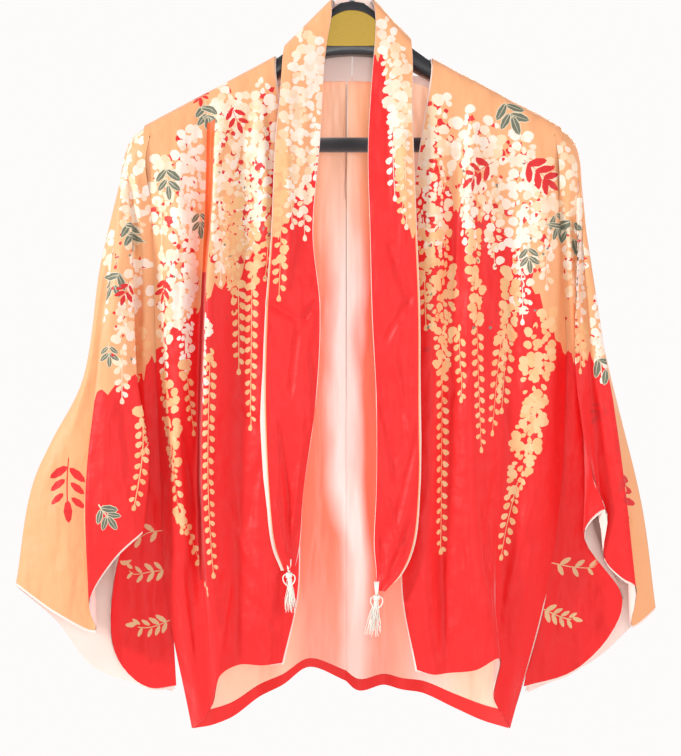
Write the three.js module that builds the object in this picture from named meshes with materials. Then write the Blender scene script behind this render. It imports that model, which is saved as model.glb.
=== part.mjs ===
// Short silk kimono jacket with a free scarf collar, hung open on a contoured suit hanger.
// Millimetres, +Z up, the front of the jacket faces -Y. The origin is the inside top of the
// hook, where it rests on a rod. Every cloth piece is a wall: a table holds its fold lines,
// one row each, a smooth surface runs through them, and the wall lies between two offsets.
import * as THREE from 'three';
import { mergeVertices } from 'three/addons/utils/BufferGeometryUtils.js';

// ---------- driving dimensions ----------
const CLOTH = 1.3; // doubled silk crepe, thickness of an outer wall
const LINING = 1.0; // thickness of the silk lining
const SEAM = 0.4; // gap between two pieces that are sewn edge to edge
const LAYER_GAP = 0.4; // gap between a panel and the lining that lies on it

const HOOK_WIRE = 5; // diameter of the hook's steel wire
const HOOK_INNER_RADIUS = 20;
const HOOK_STEM_TOP_Z = -50;
const HOOK_NECK = { x: 8, z: -42.5 }; // where the stem swings out into the crook
const HOOK_CROOK = { from: -35, to: 200, step: 23.5 }; // degrees round the crook
const DOME_TOP_Z = -72; // top of the hanger's centre
const DOME_HALF_DEPTH = 11;
const BAR_DIAMETER = 15; // flocked trouser bar
const BAR_Z = -215.5;
const BAR_HALF_LENGTH = 172;
const POST_X = 160;
const POST_DIAMETER = 8;
const POST_TOP_Z = -200.5; // just inside the arm's underside
const PLATE_HALF_WIDTH = 34;
const PLATE_HEIGHT = 36;
const PLATE_THICKNESS = 1.6;
const PLATE_BASE_Z = -118;
const ARM_CLEARANCE = 4.2; // cloth surface above the hanger's arm
const CENTRE_X = -5; // the back's centre seam hangs straight, a little left of the hook

// The shoulder's round past the arm's end: how far out, its middle from front to back, half
// its depth, its height, its rise over that, and the power that squares the round off.
const ARM_END = { out: 18, y: -9, halfDepth: 21.5, z: -236, rise: 22, squareness: 0.6 };

const BAND_DEPTH = 0.14; // the hem's turning, as a share of the last level: 12 mm deep
const BAND_CREASE = 0.02; // a close row above the turning keeps its edge sharp
const CUFF_DEPTH = 1.5; // how many levels the lining reaches up from the sleeve's mouth
const FACING_WIDTH = 0.5; // the facing reaches half way to the first ridge

const PER_LINE = 2; // mesh rows between two fold lines or two levels
const BAR_SIDES = 20;
const POST_SIDES = 12;
const TASSEL_SIDES = 12;
const MERGE_TOLERANCE = 1e-4;

const TASSEL_LEFT = { x: -62, y: -41, top: -640, length: 38, radius: 6.5 };
const TASSEL_RIGHT = { x: 27, y: -41, top: -660, length: 46, radius: 8 };

const COLOURS = {
  silk: 0xf4503c, lining: 0xf6cfc4, band: 0xe23a30, tassel: 0xf6f0e6,
  hanger: 0x16161a, plate: 0xbfa24a, flock: 0x1c1c1e, steel: 0x8d9094,
};
// metalness and roughness
const SATIN_PLASTIC = [0, 0.35];
const BRUSHED_BRASS = [1, 0.4];
const POLISHED_STEEL = [1, 0.35];

// ---------- hanger: one row for each station of an arm, from the centre out ----------
const HANGER = [
  { x: 0, top: DOME_TOP_Z, bottom: -125.5, half: DOME_HALF_DEPTH, forward: 0 },
  { x: 12, top: -74, bottom: -126, half: DOME_HALF_DEPTH, forward: 0 },
  { x: 22, top: -82, bottom: -127, half: DOME_HALF_DEPTH, forward: 0 },
  { x: 30, top: -94, bottom: -129, half: DOME_HALF_DEPTH, forward: 0 },
  { x: 38, top: -102, bottom: -131.5, half: DOME_HALF_DEPTH, forward: 0 },
  { x: 57, top: -116, bottom: -140, half: 11.5, forward: 0.5 },
  { x: 79, top: -132, bottom: -152, half: 12.5, forward: 1 },
  { x: 120, top: -154, bottom: -175, half: 15, forward: 2.5 },
  { x: 160, top: -176, bottom: -198, half: 17, forward: 5 },
  { x: 195, top: -194, bottom: -217, half: 18, forward: 7.5 },
  { x: 208, top: -202, bottom: -219, half: 16, forward: 8.5 },
  { x: 215, top: -209, bottom: -218, half: 11, forward: 9 },
];

function station(x) {
  const reach = Math.min(Math.abs(x), HANGER[HANGER.length - 1].x);
  const next = Math.max(1, HANGER.findIndex((row) => row.x >= reach));
  const [a, b] = [HANGER[next - 1], HANGER[next]];
  const mix = (key) => a[key] + ((b[key] - a[key]) * (reach - a.x)) / (b.x - a.x);
  return { top: mix('top'), half: mix('half'), forward: mix('forward') };
}

// The points where a fold line crosses an arm, from the front, over the top, to behind it.
const ARM_SECTION = [
  { share: -1, drop: 10 }, { share: -0.75, drop: 0 }, { share: 0, drop: -ARM_CLEARANCE },
  { share: 0.75, drop: 0 }, { share: 1, drop: 10 },
];
function overArm(x) {
  const { top, half, forward } = station(x);
  const reach = half + ARM_CLEARANCE;
  return ARM_SECTION.map(({ share, drop }) => [x, share * reach - forward, top - drop]);
}

// ---------- body panels ----------
// Each panel runs in one length from the front hem over the shoulder to the back hem.
// Front rows go from the opening to the side, with the place at each level as [x, y], and
// the hem as [x, y, z]. arm is where the row's line crosses the hanger.
const FRONT_LEVELS = { chest: -280, waist: -420, hip: -560, low: -660 };
const FRONT_LEFT = [
  { line: 'opening edge', arm: -77, chest: [-62, -24], waist: [-58, -26], hip: [-54, -28],
    low: [-54, -30], hem: [-69, -30, -729] },
  { line: 'first ridge', arm: -92, chest: [-84, -31], waist: [-84, -33], hip: [-86, -35],
    low: [-90, -38], hem: [-88, -34, -731] },
  { line: 'first hollow', arm: -110, chest: [-112, -24], waist: [-113, -24], hip: [-115, -24],
    low: [-114, -26], hem: [-112, -30, -731] },
  { line: 'lip of the deep fold', arm: -130, chest: [-137, -40], waist: [-143, -42],
    hip: [-145, -42], low: [-138, -40], hem: [-130, -36, -741] },
  { line: 'deep fold', arm: -142, chest: [-145, -22], waist: [-151, -20], hip: [-153, -20],
    low: [-149, -22], hem: [-139, -25, -772] },
  { line: 'side ridge', arm: -168, chest: [-169, -34], waist: [-171, -34], hip: [-171, -32],
    low: [-166, -28], hem: [-149, -18, -788] },
  { line: 'side', arm: -200, chest: [-200, -22], waist: [-195, -18], hip: [-190, -8],
    low: [-186, -3], hem: [-160, -1.8, -798] },
];
const FRONT_RIGHT = [
  { line: 'opening edge', arm: 80, chest: [60, -24], waist: [56, -26], hip: [52, -28],
    low: [50, -30], hem: [64, -30, -736] },
  { line: 'first ridge', arm: 94, chest: [82, -33], waist: [80, -34], hip: [76, -36],
    low: [72, -37], hem: [80, -35, -740] },
  { line: 'first hollow', arm: 108, chest: [103, -24], waist: [97, -25], hip: [91, -26],
    low: [88, -28], hem: [95, -30, -739] },
  { line: 'middle ridge', arm: 124, chest: [116, -38], waist: [116, -38], hip: [116, -40],
    low: [117, -40], hem: [122, -38, -735] },
  { line: 'hem curl', arm: 138, chest: [130, -27], waist: [130, -29], hip: [133, -33],
    low: [138, -37], hem: [145, -37, -724] },
  { line: 'side hollow', arm: 160, chest: [156, -22], waist: [153, -21], hip: [148, -20],
    low: [146, -19], hem: [141, -20, -765] },
  { line: 'side ridge', arm: 184, chest: [187, -33], waist: [189, -31], hip: [184, -26],
    low: [173, -20], hem: [152, -11, -787] },
  { line: 'side', arm: 202, chest: [208, -22], waist: [212, -18], hip: [208, -8],
    low: [194, -3], hem: [158, -1.8, -798] },
];

// Back rows go from the centre seam to the side, in the order of the front's rows.
const BACK_LEVELS = { blade: -280, waist: -420, hip: -560, low: -670 };
const CENTRE_SEAM = { line: 'centre seam', nape: [CENTRE_X, 18, -147], blade: [CENTRE_X, 20],
  waist: [CENTRE_X, 22], hip: [CENTRE_X, 24], low: [CENTRE_X, 26], hem: [CENTRE_X, 28, -754] };
const BACK_LEFT = [
  CENTRE_SEAM,
  { line: 'inner ridge', nape: [-26, 20, -149], blade: [-30, 28], waist: [-34, 31],
    hip: [-38, 32], low: [-42, 31], hem: [-44, 30, -740] },
  { line: 'inner hollow', nape: [-54, 20, -154], blade: [-60, 20], waist: [-63, 19],
    hip: [-67, 20], low: [-70, 22], hem: [-71, 24, -758] },
  { line: 'middle ridge', nape: [-82, 21, -162], blade: [-89, 30], waist: [-92, 33],
    hip: [-94, 34], low: [-96, 33], hem: [-96, 32, -772] },
  { line: 'middle hollow', nape: [-112, 22, -176], blade: [-117, 20], waist: [-120, 19],
    hip: [-122, 20], low: [-123, 22], hem: [-122, 25, -790] },
  { line: 'outer ridge', nape: [-150, 22, -194], blade: [-152, 32], waist: [-153, 33],
    hip: [-152, 30], low: [-150, 25], hem: [-141, 20, -797] },
  { line: 'side', nape: [-201, 17, -216], blade: [-200, 22], waist: [-195, 18],
    hip: [-190, 8], low: [-185, 3], hem: [-160, 1.8, -798] },
];
const BACK_RIGHT = [
  CENTRE_SEAM,
  { line: 'inner hollow', nape: [12, 19, -147], blade: [12, 18], waist: [12, 17], hip: [10, 18],
    low: [8, 21], hem: [7, 24, -763] },
  { line: 'inner ridge', nape: [36, 20, -150], blade: [38, 28], waist: [38, 31], hip: [37, 32],
    low: [35, 31], hem: [32, 30, -758] },
  { line: 'middle hollow', nape: [60, 20, -155], blade: [62, 20], waist: [62, 19],
    hip: [60, 19], low: [56, 21], hem: [51, 24, -762] },
  { line: 'middle ridge', nape: [86, 21, -163], blade: [90, 30], waist: [90, 33], hip: [86, 34],
    low: [80, 33], hem: [73, 32, -767] },
  { line: 'outer hollow', nape: [118, 22, -178], blade: [124, 20], waist: [124, 19],
    hip: [120, 20], low: [113, 22], hem: [105, 26, -781] },
  { line: 'outer ridge', nape: [156, 21, -197], blade: [162, 32], waist: [164, 32],
    hip: [160, 28], low: [150, 22], hem: [132, 16, -792] },
  { line: 'side', nape: [203, 16, -217], blade: [208, 22], waist: [212, 18], hip: [208, 8],
    low: [194, 3], hem: [158, 1.8, -798] },
];

function bodyLine(front, back) {
  const at = (place, level) => [place[0], place[1], level];
  return [
    front.hem,
    ...['low', 'hip', 'waist', 'chest'].map((key) => [...front[key], FRONT_LEVELS[key]]),
    ...overArm(front.arm),
    at(back.nape, back.nape[2]),
    ...['blade', 'waist', 'hip', 'low'].map((key) => at(back[key], BACK_LEVELS[key])),
    at(back.hem, back.hem[2]),
  ];
}
const ARM_LEVEL = 7; // index of the shoulder ridge along a body line
const NAPE_LEVEL = 10;
const BACK_HEM_LEVEL = 15;

// ---------- sleeves ----------
// Each row runs from the armhole to the mouth. Rows go from the front armhole round the
// outer fold to the back armhole. The flap rows fold over the drop rows. The first two
// levels are worked out: the armhole on top of the arm, and the round of the arm's end.
const SLEEVE_LEVELS = ['upper', 'elbow', 'lower', 'mouth'];
const ARMHOLE_X = 204;
const SLEEVE_LEFT = [
  { line: 'front armhole', upper: [-201.2, -22, -300],
    elbow: [-196.6, -18, -430], lower: [-189.6, -3, -600], mouth: [-179, 2, -756] },
  { line: 'drop', upper: [-208, -28, -300], elbow: [-206, -18, -430],
    lower: [-204, 0, -600], mouth: [-203, 3, -758] },
  { line: 'drop corner', upper: [-212, -26, -300],
    elbow: [-212, -14, -430], lower: [-217, 0, -605], mouth: [-227, 4, -741] },
  { line: 'mouth strip', upper: [-215, -23, -300],
    elbow: [-217, -12, -432], lower: [-226, -4, -590], mouth: [-240, -2, -708] },
  { line: 'under the flap', upper: [-217, -23, -302],
    elbow: [-219, -16, -436], lower: [-226, -16, -560], mouth: [-226, -18, -612] },
  { line: 'flap edge', upper: [-218, -31, -304],
    elbow: [-212, -36, -440], lower: [-199, -38, -525], mouth: [-204, -36, -597] },
  { line: 'flap', upper: [-226, -33, -308], elbow: [-230, -40, -444],
    lower: [-229, -44, -540], mouth: [-232, -42, -623] },
  { line: 'flap ridge', upper: [-234, -32, -312],
    elbow: [-251, -36, -448], lower: [-262, -40, -560], mouth: [-259, -40, -668] },
  { line: 'flap hollow', upper: [-237, -24, -314],
    elbow: [-252, -21, -450], lower: [-259, -22, -570], mouth: [-254, -26, -697] },
  { line: 'outer front', upper: [-244, -19, -318],
    elbow: [-263, -20, -446], lower: [-292, -20, -556], mouth: [-294, -22, -679] },
  { line: 'outer fold', upper: [-250, -3, -330],
    elbow: [-269, 0, -450], lower: [-318, 0, -550], mouth: [-336, 0, -653] },
  { line: 'outer back', upper: [-246, 14, -322], elbow: [-266, 20, -450],
    lower: [-296, 20, -560], mouth: [-298, 18, -690] },
  { line: 'back', upper: [-228, 24, -312], elbow: [-238, 26, -444],
    lower: [-246, 22, -590], mouth: [-258, 18, -738] },
  { line: 'back armhole', upper: [-202, 23, -300],
    elbow: [-197.5, 18, -430], lower: [-190, 12, -600], mouth: [-182, 10, -760] },
];
const SLEEVE_RIGHT = [
  { line: 'front armhole', upper: [211.8, -21.5, -300],
    elbow: [214, -18, -430], lower: [205.6, -3, -600], mouth: [176, 2, -757] },
  { line: 'drop', upper: [215, -28, -302], elbow: [221, -18, -432],
    lower: [226, 0, -605], mouth: [222, 3, -741] },
  { line: 'drop corner', upper: [219, -25, -304], elbow: [226, -14, -434],
    lower: [240, 0, -610], mouth: [260, 4, -703] },
  { line: 'mouth strip', upper: [221, -23, -306],
    elbow: [229, -12, -436], lower: [238, -4, -590], mouth: [270, -1, -668] },
  { line: 'under the flap', upper: [222, -23, -308],
    elbow: [229, -16, -438], lower: [231, -16, -550], mouth: [229, -20, -601] },
  { line: 'flap edge', upper: [223, -31, -310], elbow: [220, -36, -444],
    lower: [236, -38, -540], mouth: [249, -36, -577] },
  { line: 'flap hollow', upper: [228, -25, -312], elbow: [235, -26, -444],
    lower: [244, -26, -560], mouth: [250, -23, -627] },
  { line: 'front fold', upper: [229, -28, -314],
    elbow: [242, -30, -446], lower: [256, -33, -565], mouth: [266, -30, -645] },
  { line: 'front ridge', upper: [232, -28, -318],
    elbow: [253, -30, -450], lower: [270, -34, -570], mouth: [280, -30, -654] },
  { line: 'outer hollow', upper: [233, -21, -320],
    elbow: [254, -18, -450], lower: [272, -17, -575], mouth: [278, -15, -694] },
  { line: 'outer fold', upper: [233, -4, -330],
    elbow: [259, 0, -448], lower: [290, 0, -575], mouth: [304, 0, -677] },
  { line: 'outer back', upper: [231, 14, -322], elbow: [256, 20, -450],
    lower: [278, 20, -575], mouth: [284, 18, -694] },
  { line: 'back', upper: [222, 25, -312], elbow: [236, 26, -444],
    lower: [246, 22, -590], mouth: [246, 18, -728] },
  { line: 'back armhole', upper: [210.5, 23, -300],
    elbow: [214.5, 18, -430], lower: [206, 12, -600], mouth: [180, 10, -762] },
];

// ---------- scarf collar: one row for each station from the nape to the tassel end ----------
// Each row gives the band's two edges; the nape runs behind the hook, then each side comes
// forward over the hanger's centre and hangs free in front of the jacket.
const NAPE = [
  { at: 'nape seam', inner: [1, 13.6, -66], outer: [0, 13.6, -149] },
];
const COLLAR_LEFT = [
  ...NAPE,
  { at: 'side of the nape', inner: [-13, 13.6, -67], outer: [-36, 13.8, -147] },
  { at: 'behind the hanger', inner: [-18, 13.6, -70], outer: [-58, 14.2, -130] },
  { at: 'back of the crest', inner: [-19, 12, -71], outer: [-64, 12.5, -118] },
  { at: 'crest', inner: [-20, 1, -68.5], outer: [-66.5, 1, -115] },
  { at: 'front of the crest', inner: [-20.5, -12.5, -73], outer: [-68, -14, -121] },
  { at: 'front of the hanger', inner: [-21, -16.5, -88], outer: [-69.5, -20, -138] },
  { at: 'below the plate', inner: [-27, -18, -130], outer: [-71, -31, -170] },
  { at: 'shoulder', inner: [-32, -30, -214], outer: [-75, -37, -214] },
  { at: 'chest', inner: [-39, -35, -305], outer: [-79, -40, -305] },
  { at: 'first crease', inner: [-32, -37, -380], outer: [-84, -42, -380] },
  { at: 'waist', inner: [-36, -40, -470], outer: [-86, -41, -470] },
  { at: 'second crease', inner: [-48, -38, -560], outer: [-82, -43, -560] },
  { at: 'gathering', inner: [-52, -38, -612], outer: [-76, -43, -612] },
  { at: 'end', inner: [-57, -39, -637], outer: [-67, -42, -637] },
];
const COLLAR_RIGHT = [
  ...NAPE,
  { at: 'side of the nape', inner: [15, 13.6, -67], outer: [32, 13.8, -147] },
  { at: 'behind the hanger', inner: [19, 13.6, -70], outer: [52, 14.2, -126] },
  { at: 'back of the crest', inner: [20, 12, -71], outer: [56, 12.5, -112] },
  { at: 'crest', inner: [21, 1, -68.5], outer: [58, 1, -108] },
  { at: 'front of the crest', inner: [22, -12.5, -73], outer: [59, -13.5, -114] },
  { at: 'front of the hanger', inner: [24, -16.5, -96], outer: [60, -19, -134] },
  { at: 'below the plate', inner: [20, -18, -150], outer: [59, -29, -172] },
  { at: 'shoulder', inner: [16, -30, -222], outer: [60, -35, -222] },
  { at: 'chest', inner: [18, -35, -305], outer: [63, -40, -305] },
  { at: 'first crease', inner: [20, -38, -385], outer: [66, -41, -385] },
  { at: 'waist', inner: [24, -38, -470], outer: [66, -43, -470] },
  { at: 'second crease', inner: [24, -40, -555], outer: [66, -43, -555] },
  { at: 'gathering', inner: [22, -38, -612], outer: [60, -43, -612] },
  { at: 'crumpled end', inner: [24, -38, -640], outer: [48, -42, -640] },
  { at: 'end', inner: [23, -39, -657], outer: [33, -41, -657] },
];
const HANGING_FROM = 8; // station from which the padded middle of the band stands out
const COLLAR_CROWN = 1.2; // how far the padded middle of the band stands out

// ---------- surfaces through fold lines ----------
const vector = (p) => new THREE.Vector3(...p);

class FoldedSurface {
  // lines: one list of points for each fold line; u counts the lines, v the levels.
  // keep(point, u) moves a point that must not cross a seam.
  constructor(lines, keep = (point) => point) {
    this.keep = keep;
    this.curves = lines.map((line) => new THREE.CatmullRomCurve3(line.map(vector)));
    this.lineCount = lines.length;
    this.levelCount = lines[0].length;
  }
  at(u, v) {
    const along = this.curves.map((curve) => curve.getPoint(v / (this.levelCount - 1)));
    const across = new THREE.CatmullRomCurve3(along);
    return this.keep(across.getPoint(u / (this.lineCount - 1)), u);
  }
  normal(u, v) {
    const step = 0.02;
    const hold = (value, last) => THREE.MathUtils.clamp(value, 0, last);
    const lastU = this.lineCount - 1;
    const lastV = this.levelCount - 1;
    const du = this.at(hold(u + step, lastU), v).sub(this.at(hold(u - step, lastU), v));
    const dv = this.at(u, hold(v + step, lastV)).sub(this.at(u, hold(v - step, lastV)));
    return du.cross(dv).normalize();
  }
}

function steps(from, to, count) {
  return Array.from({ length: count + 1 }, (_, i) => from + ((to - from) * i) / count);
}

// A closed wall between two offsets of a surface, over the given values of u and v.
// side is 1 or -1, so that a positive offset is outside; square lists edges of u where the
// wall's rim stays upright at a centre seam.
function wall(surface, us, vs, low, high, side, square = []) {
  const columns = us.length;
  const rows = vs.length;
  const positions = [];
  const layers = [high, low].map((offset) => {
    const first = positions.length / 3;
    for (const v of vs) {
      for (const u of us) {
        const normal = surface.normal(u, v).multiplyScalar(side);
        if (square.includes(u)) normal.setX(0).normalize();
        positions.push(...surface.at(u, v).addScaledVector(normal, offset).toArray());
      }
    }
    return first;
  });
  const index = (layer, row, column) => layers[layer] + row * columns + column;
  const faces = [];
  const quad = (a, b, c, d) => faces.push(a, b, c, a, c, d);
  for (let r = 0; r < rows - 1; r += 1) {
    for (let c = 0; c < columns - 1; c += 1) {
      quad(index(0, r, c), index(0, r, c + 1), index(0, r + 1, c + 1), index(0, r + 1, c));
      quad(index(1, r, c), index(1, r + 1, c), index(1, r + 1, c + 1), index(1, r, c + 1));
    }
  }
  for (let c = 0; c < columns - 1; c += 1) {
    quad(index(0, 0, c + 1), index(0, 0, c), index(1, 0, c), index(1, 0, c + 1));
    quad(index(0, rows - 1, c), index(0, rows - 1, c + 1),
      index(1, rows - 1, c + 1), index(1, rows - 1, c));
  }
  for (let r = 0; r < rows - 1; r += 1) {
    quad(index(0, r, 0), index(0, r + 1, 0), index(1, r + 1, 0), index(1, r, 0));
    quad(index(0, r + 1, columns - 1), index(0, r, columns - 1),
      index(1, r, columns - 1), index(1, r + 1, columns - 1));
  }
  if (side < 0) {
    for (let i = 0; i < faces.length; i += 3) [faces[i], faces[i + 1]] = [faces[i + 1], faces[i]];
  }
  const geometry = new THREE.BufferGeometry();
  geometry.setAttribute('position', new THREE.Float32BufferAttribute(positions, 3));
  geometry.setIndex(faces);
  return geometry;
}

// ---------- the part ----------
const jacket = new THREE.Group();
function add(name, geometry, colour, metalness = 0, roughness = 0.8) {
  const material = new THREE.MeshStandardMaterial({ color: colour, metalness, roughness });
  const mesh = new THREE.Mesh(geometry, material);
  mesh.name = name;
  jacket.add(mesh);
  return mesh;
}
const outside = [0, CLOTH];
const inside = [-LAYER_GAP - LINING, -LAYER_GAP];

function addBody(name, front, back, side) {
  const lines = front.map((row, i) => bodyLine(row, back[i]));
  const seam = CENTRE_X + (side * SEAM) / 2;
  const leastStep = 4; // a fold line keeps at least this much room from the one before it
  const surface = new FoldedSurface(lines, (point, u) => {
    const limit = seam + side * leastStep * u;
    return point.setX(side < 0 ? Math.min(point.x, limit) : Math.max(point.x, limit));
  });
  const last = lines.length - 1;
  const across = steps(0, last, last * PER_LINE);
  const bandTop = BACK_HEM_LEVEL - BAND_DEPTH;
  const even = steps(0, BACK_HEM_LEVEL, BACK_HEM_LEVEL * PER_LINE);
  const fine = [...even.slice(0, -1), bandTop - BAND_CREASE, bandTop, BACK_HEM_LEVEL];
  const onSeam = [0];
  add(`body_${name}`, wall(surface, across, fine, ...outside, side, onSeam), COLOURS.silk);

  const down = fine.filter((v) => v >= NAPE_LEVEL && v < bandTop);
  add(`back_lining_${name}`, wall(surface, across, down, ...inside, side, onSeam), COLOURS.lining);
  const turning = [bandTop, BACK_HEM_LEVEL];
  add(`hem_band_${name}`, wall(surface, across, turning, ...inside, side, onSeam), COLOURS.band);
  const edge = steps(0, FACING_WIDTH, 1);
  const frontRows = fine.filter((v) => v <= ARM_LEVEL);
  add(`facing_${name}`, wall(surface, edge, frontRows, ...inside, side), COLOURS.lining);
}
addBody('left', FRONT_LEFT, BACK_LEFT, -1);
addBody('right', FRONT_RIGHT, BACK_RIGHT, 1);

// A point on the armhole over the arm, and one round the arm's end, at a share of the way
// from the front to the back.
function armholePoint(sign, share) {
  const over = new THREE.CatmullRomCurve3(overArm(ARMHOLE_X).map(vector)).getPoint(share);
  return [sign * over.x, over.y, over.z];
}
function armEndPoint(sign, share) {
  const angle = Math.PI * share;
  const { out, y, halfDepth, z, rise, squareness } = ARM_END;
  const bulge = Math.sin(angle) ** squareness;
  return [sign * (ARMHOLE_X + out * bulge), y - halfDepth * Math.cos(angle),
    z + rise * Math.sin(angle)];
}

function addSleeve(name, rows, side, firstLinedRow) {
  const lines = rows.map((row, i) => {
    const share = i / (rows.length - 1);
    const start = [armholePoint(-side, share), armEndPoint(-side, share)];
    return [...start, ...SLEEVE_LEVELS.map((level) => row[level])];
  });
  const surface = new FoldedSurface(lines);
  const last = lines.length - 1;
  const around = steps(0, last, last * PER_LINE);
  const mouth = SLEEVE_LEVELS.length + 1;
  const down = steps(0, mouth, mouth * PER_LINE);
  add(`sleeve_${name}`, wall(surface, around, down, ...outside, side), COLOURS.silk);
  const cuff = down.filter((v) => v >= mouth - CUFF_DEPTH);
  const lined = around.filter((u) => u >= firstLinedRow);
  add(`sleeve_lining_${name}`, wall(surface, lined, cuff, ...inside, side), COLOURS.lining);
}
// The lining is built where the mouth shows it: round the outer fold and up the back layer.
const rowOf = (rows, line) => rows.findIndex((row) => row.line === line);
addSleeve('left', SLEEVE_LEFT, 1, rowOf(SLEEVE_LEFT, 'outer front'));
addSleeve('right', SLEEVE_RIGHT, -1, rowOf(SLEEVE_RIGHT, 'outer hollow'));

function addCollar(name, rows, side, seamShift) {
  const shares = [0, 0.25, 0.5, 0.75, 1];
  const lines = shares.map((share) => rows.map((row, i) => {
    const point = vector(row.inner).lerp(vector(row.outer), share);
    if (i === 0) point.x += seamShift;
    const arch = 4 * share * (1 - share); // 0 at both edges, 1 in the middle
    point.y -= i >= HANGING_FROM ? COLLAR_CROWN * arch : 0;
    return point.toArray();
  }));
  const surface = new FoldedSurface(lines);
  const last = rows.length - 1;
  const fineFrom = HANGING_FROM + 1 / PER_LINE;
  const along = [...steps(0, HANGING_FROM, HANGING_FROM),
    ...steps(fineFrom, last, (last - fineFrom) * PER_LINE)];
  const across = steps(0, shares.length - 1, shares.length - 1);
  add(`collar_${name}`, wall(surface, across, along, ...outside, side), COLOURS.silk);
  add(`collar_lining_${name}`, wall(surface, across, along, ...inside, side), COLOURS.lining);
}
addCollar('left', COLLAR_LEFT, 1, -SEAM / 2);
addCollar('right', COLLAR_RIGHT, -1, SEAM / 2);

// Tassels are plain solids of the thread's reach, hung from the collar's ends.
function addTassel(name, { x, y, top, length, radius }) {
  const profile = [
    [0, -1], [radius, -0.95], [radius * 0.8, -0.6], [2.6, -0.2], [2.2, -0.1], [1.6, 0], [0, 0],
  ].map(([r, z]) => new THREE.Vector2(r, z * length));
  const geometry = new THREE.LatheGeometry(profile, TASSEL_SIDES).rotateX(Math.PI / 2);
  add(`tassel_${name}`, geometry, COLOURS.tassel).position.set(x, y, top);
}
addTassel('left', TASSEL_LEFT);
addTassel('right', TASSEL_RIGHT);

// ---------- hanger ----------
// The section is boxy at the dome, where the plate lies flat, and rounder along the arms.
// y and z are shares of the half depth and the half height.
const BOXY = { side: 0.8, corner: [0.94, 0.93], top: 0.75 };
const ROUND = { side: 0.35, corner: [0.7, 0.82], top: 0.25 };
const UNDERSIDE = [[-1, -0.6], [-0.6, -1], [0.6, -1], [1, -0.6]];
const DOME_HALF_WIDTH = 38;
function hangerBody() {
  const outward = [...HANGER].reverse().map((row) => ({ ...row, x: -row.x }));
  const stations = [...outward, ...HANGER.slice(1)];
  const positions = [];
  let section = [];
  for (const { x, top, bottom, half, forward } of stations) {
    const { side, corner, top: crown } = Math.abs(x) <= DOME_HALF_WIDTH ? BOXY : ROUND;
    section = [...UNDERSIDE, [1, side], corner, [crown, 1],
      [-crown, 1], [-corner[0], corner[1]], [-1, side]];
    for (const [y, z] of section) {
      positions.push(x, y * half - forward, (top + bottom) / 2 + (z * (top - bottom)) / 2);
    }
  }
  const ring = section.length;
  const faces = [];
  for (let s = 0; s < stations.length - 1; s += 1) {
    for (let k = 0; k < ring; k += 1) {
      const [a, b] = [s * ring + k, s * ring + ((k + 1) % ring)];
      faces.push(a, b, b + ring, a, b + ring, a + ring);
    }
  }
  const lastRing = (stations.length - 1) * ring;
  for (let k = 1; k < ring - 1; k += 1) {
    faces.push(0, k + 1, k, lastRing, lastRing + k, lastRing + k + 1);
  }
  const geometry = new THREE.BufferGeometry();
  geometry.setAttribute('position', new THREE.Float32BufferAttribute(positions, 3));
  geometry.setIndex(faces);
  return geometry;
}
add('hanger_body', hangerBody(), COLOURS.hanger, ...SATIN_PLASTIC);

function plate() {
  const outline = new THREE.Shape();
  outline.moveTo(PLATE_HALF_WIDTH, 0);
  outline.absellipse(0, 0, PLATE_HALF_WIDTH, PLATE_HEIGHT, 0, Math.PI, false, 0);
  outline.closePath();
  const options = { depth: PLATE_THICKNESS, bevelEnabled: false, curveSegments: 20 };
  const geometry = new THREE.ExtrudeGeometry(outline, options).rotateX(Math.PI / 2);
  return geometry.translate(0, -DOME_HALF_DEPTH - LAYER_GAP, PLATE_BASE_Z);
}
add('hanger_plate', plate(), COLOURS.plate, ...BRUSHED_BRASS);

const barRadius = BAR_DIAMETER / 2;
const bar = new THREE.CylinderGeometry(barRadius, barRadius, BAR_HALF_LENGTH * 2, BAR_SIDES);
const barForward = station(POST_X).forward;
add('trouser_bar', bar.rotateZ(Math.PI / 2), COLOURS.flock).position.set(0, -barForward, BAR_Z);
const postRadius = POST_DIAMETER / 2;
const postBottom = BAR_Z + BAR_DIAMETER / 2 + LAYER_GAP;
for (const [name, x] of [['left', -POST_X], ['right', POST_X]]) {
  const post = new THREE.CylinderGeometry(
    postRadius, postRadius, POST_TOP_Z - postBottom, POST_SIDES);
  add(`bar_post_${name}`, post.rotateX(Math.PI / 2), COLOURS.hanger, ...SATIN_PLASTIC)
    .position.set(x, -barForward, (POST_TOP_Z + postBottom) / 2);
}

function hookPath() {
  const radius = HOOK_INNER_RADIUS + HOOK_WIRE / 2;
  const crook = (degrees) => {
    const angle = THREE.MathUtils.degToRad(degrees);
    return new THREE.Vector3(
      radius * Math.cos(angle), 0, -HOOK_INNER_RADIUS + radius * Math.sin(angle));
  };
  const points = [
    new THREE.Vector3(0, 0, DOME_TOP_Z + LAYER_GAP),
    new THREE.Vector3(0, 0, (DOME_TOP_Z + HOOK_STEM_TOP_Z) / 2),
    new THREE.Vector3(1, 0, HOOK_STEM_TOP_Z),
    new THREE.Vector3(HOOK_NECK.x, 0, HOOK_NECK.z),
  ];
  const { from, to, step } = HOOK_CROOK;
  for (let degrees = from; degrees <= to; degrees += step) points.push(crook(degrees));
  return new THREE.CatmullRomCurve3(points);
}
const wire = new THREE.Shape().absarc(0, 0, HOOK_WIRE / 2, 0, 2 * Math.PI, false);
const hook = new THREE.ExtrudeGeometry(wire, { steps: 40, curveSegments: 5, extrudePath: hookPath() });
add('hook', hook, COLOURS.steel, ...POLISHED_STEEL);

jacket.traverse((node) => {
  if (!node.isMesh) return;
  node.geometry.deleteAttribute('normal');
  node.geometry.deleteAttribute('uv');
  node.geometry = mergeVertices(node.geometry, MERGE_TOLERANCE);
});

export default jacket;
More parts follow.
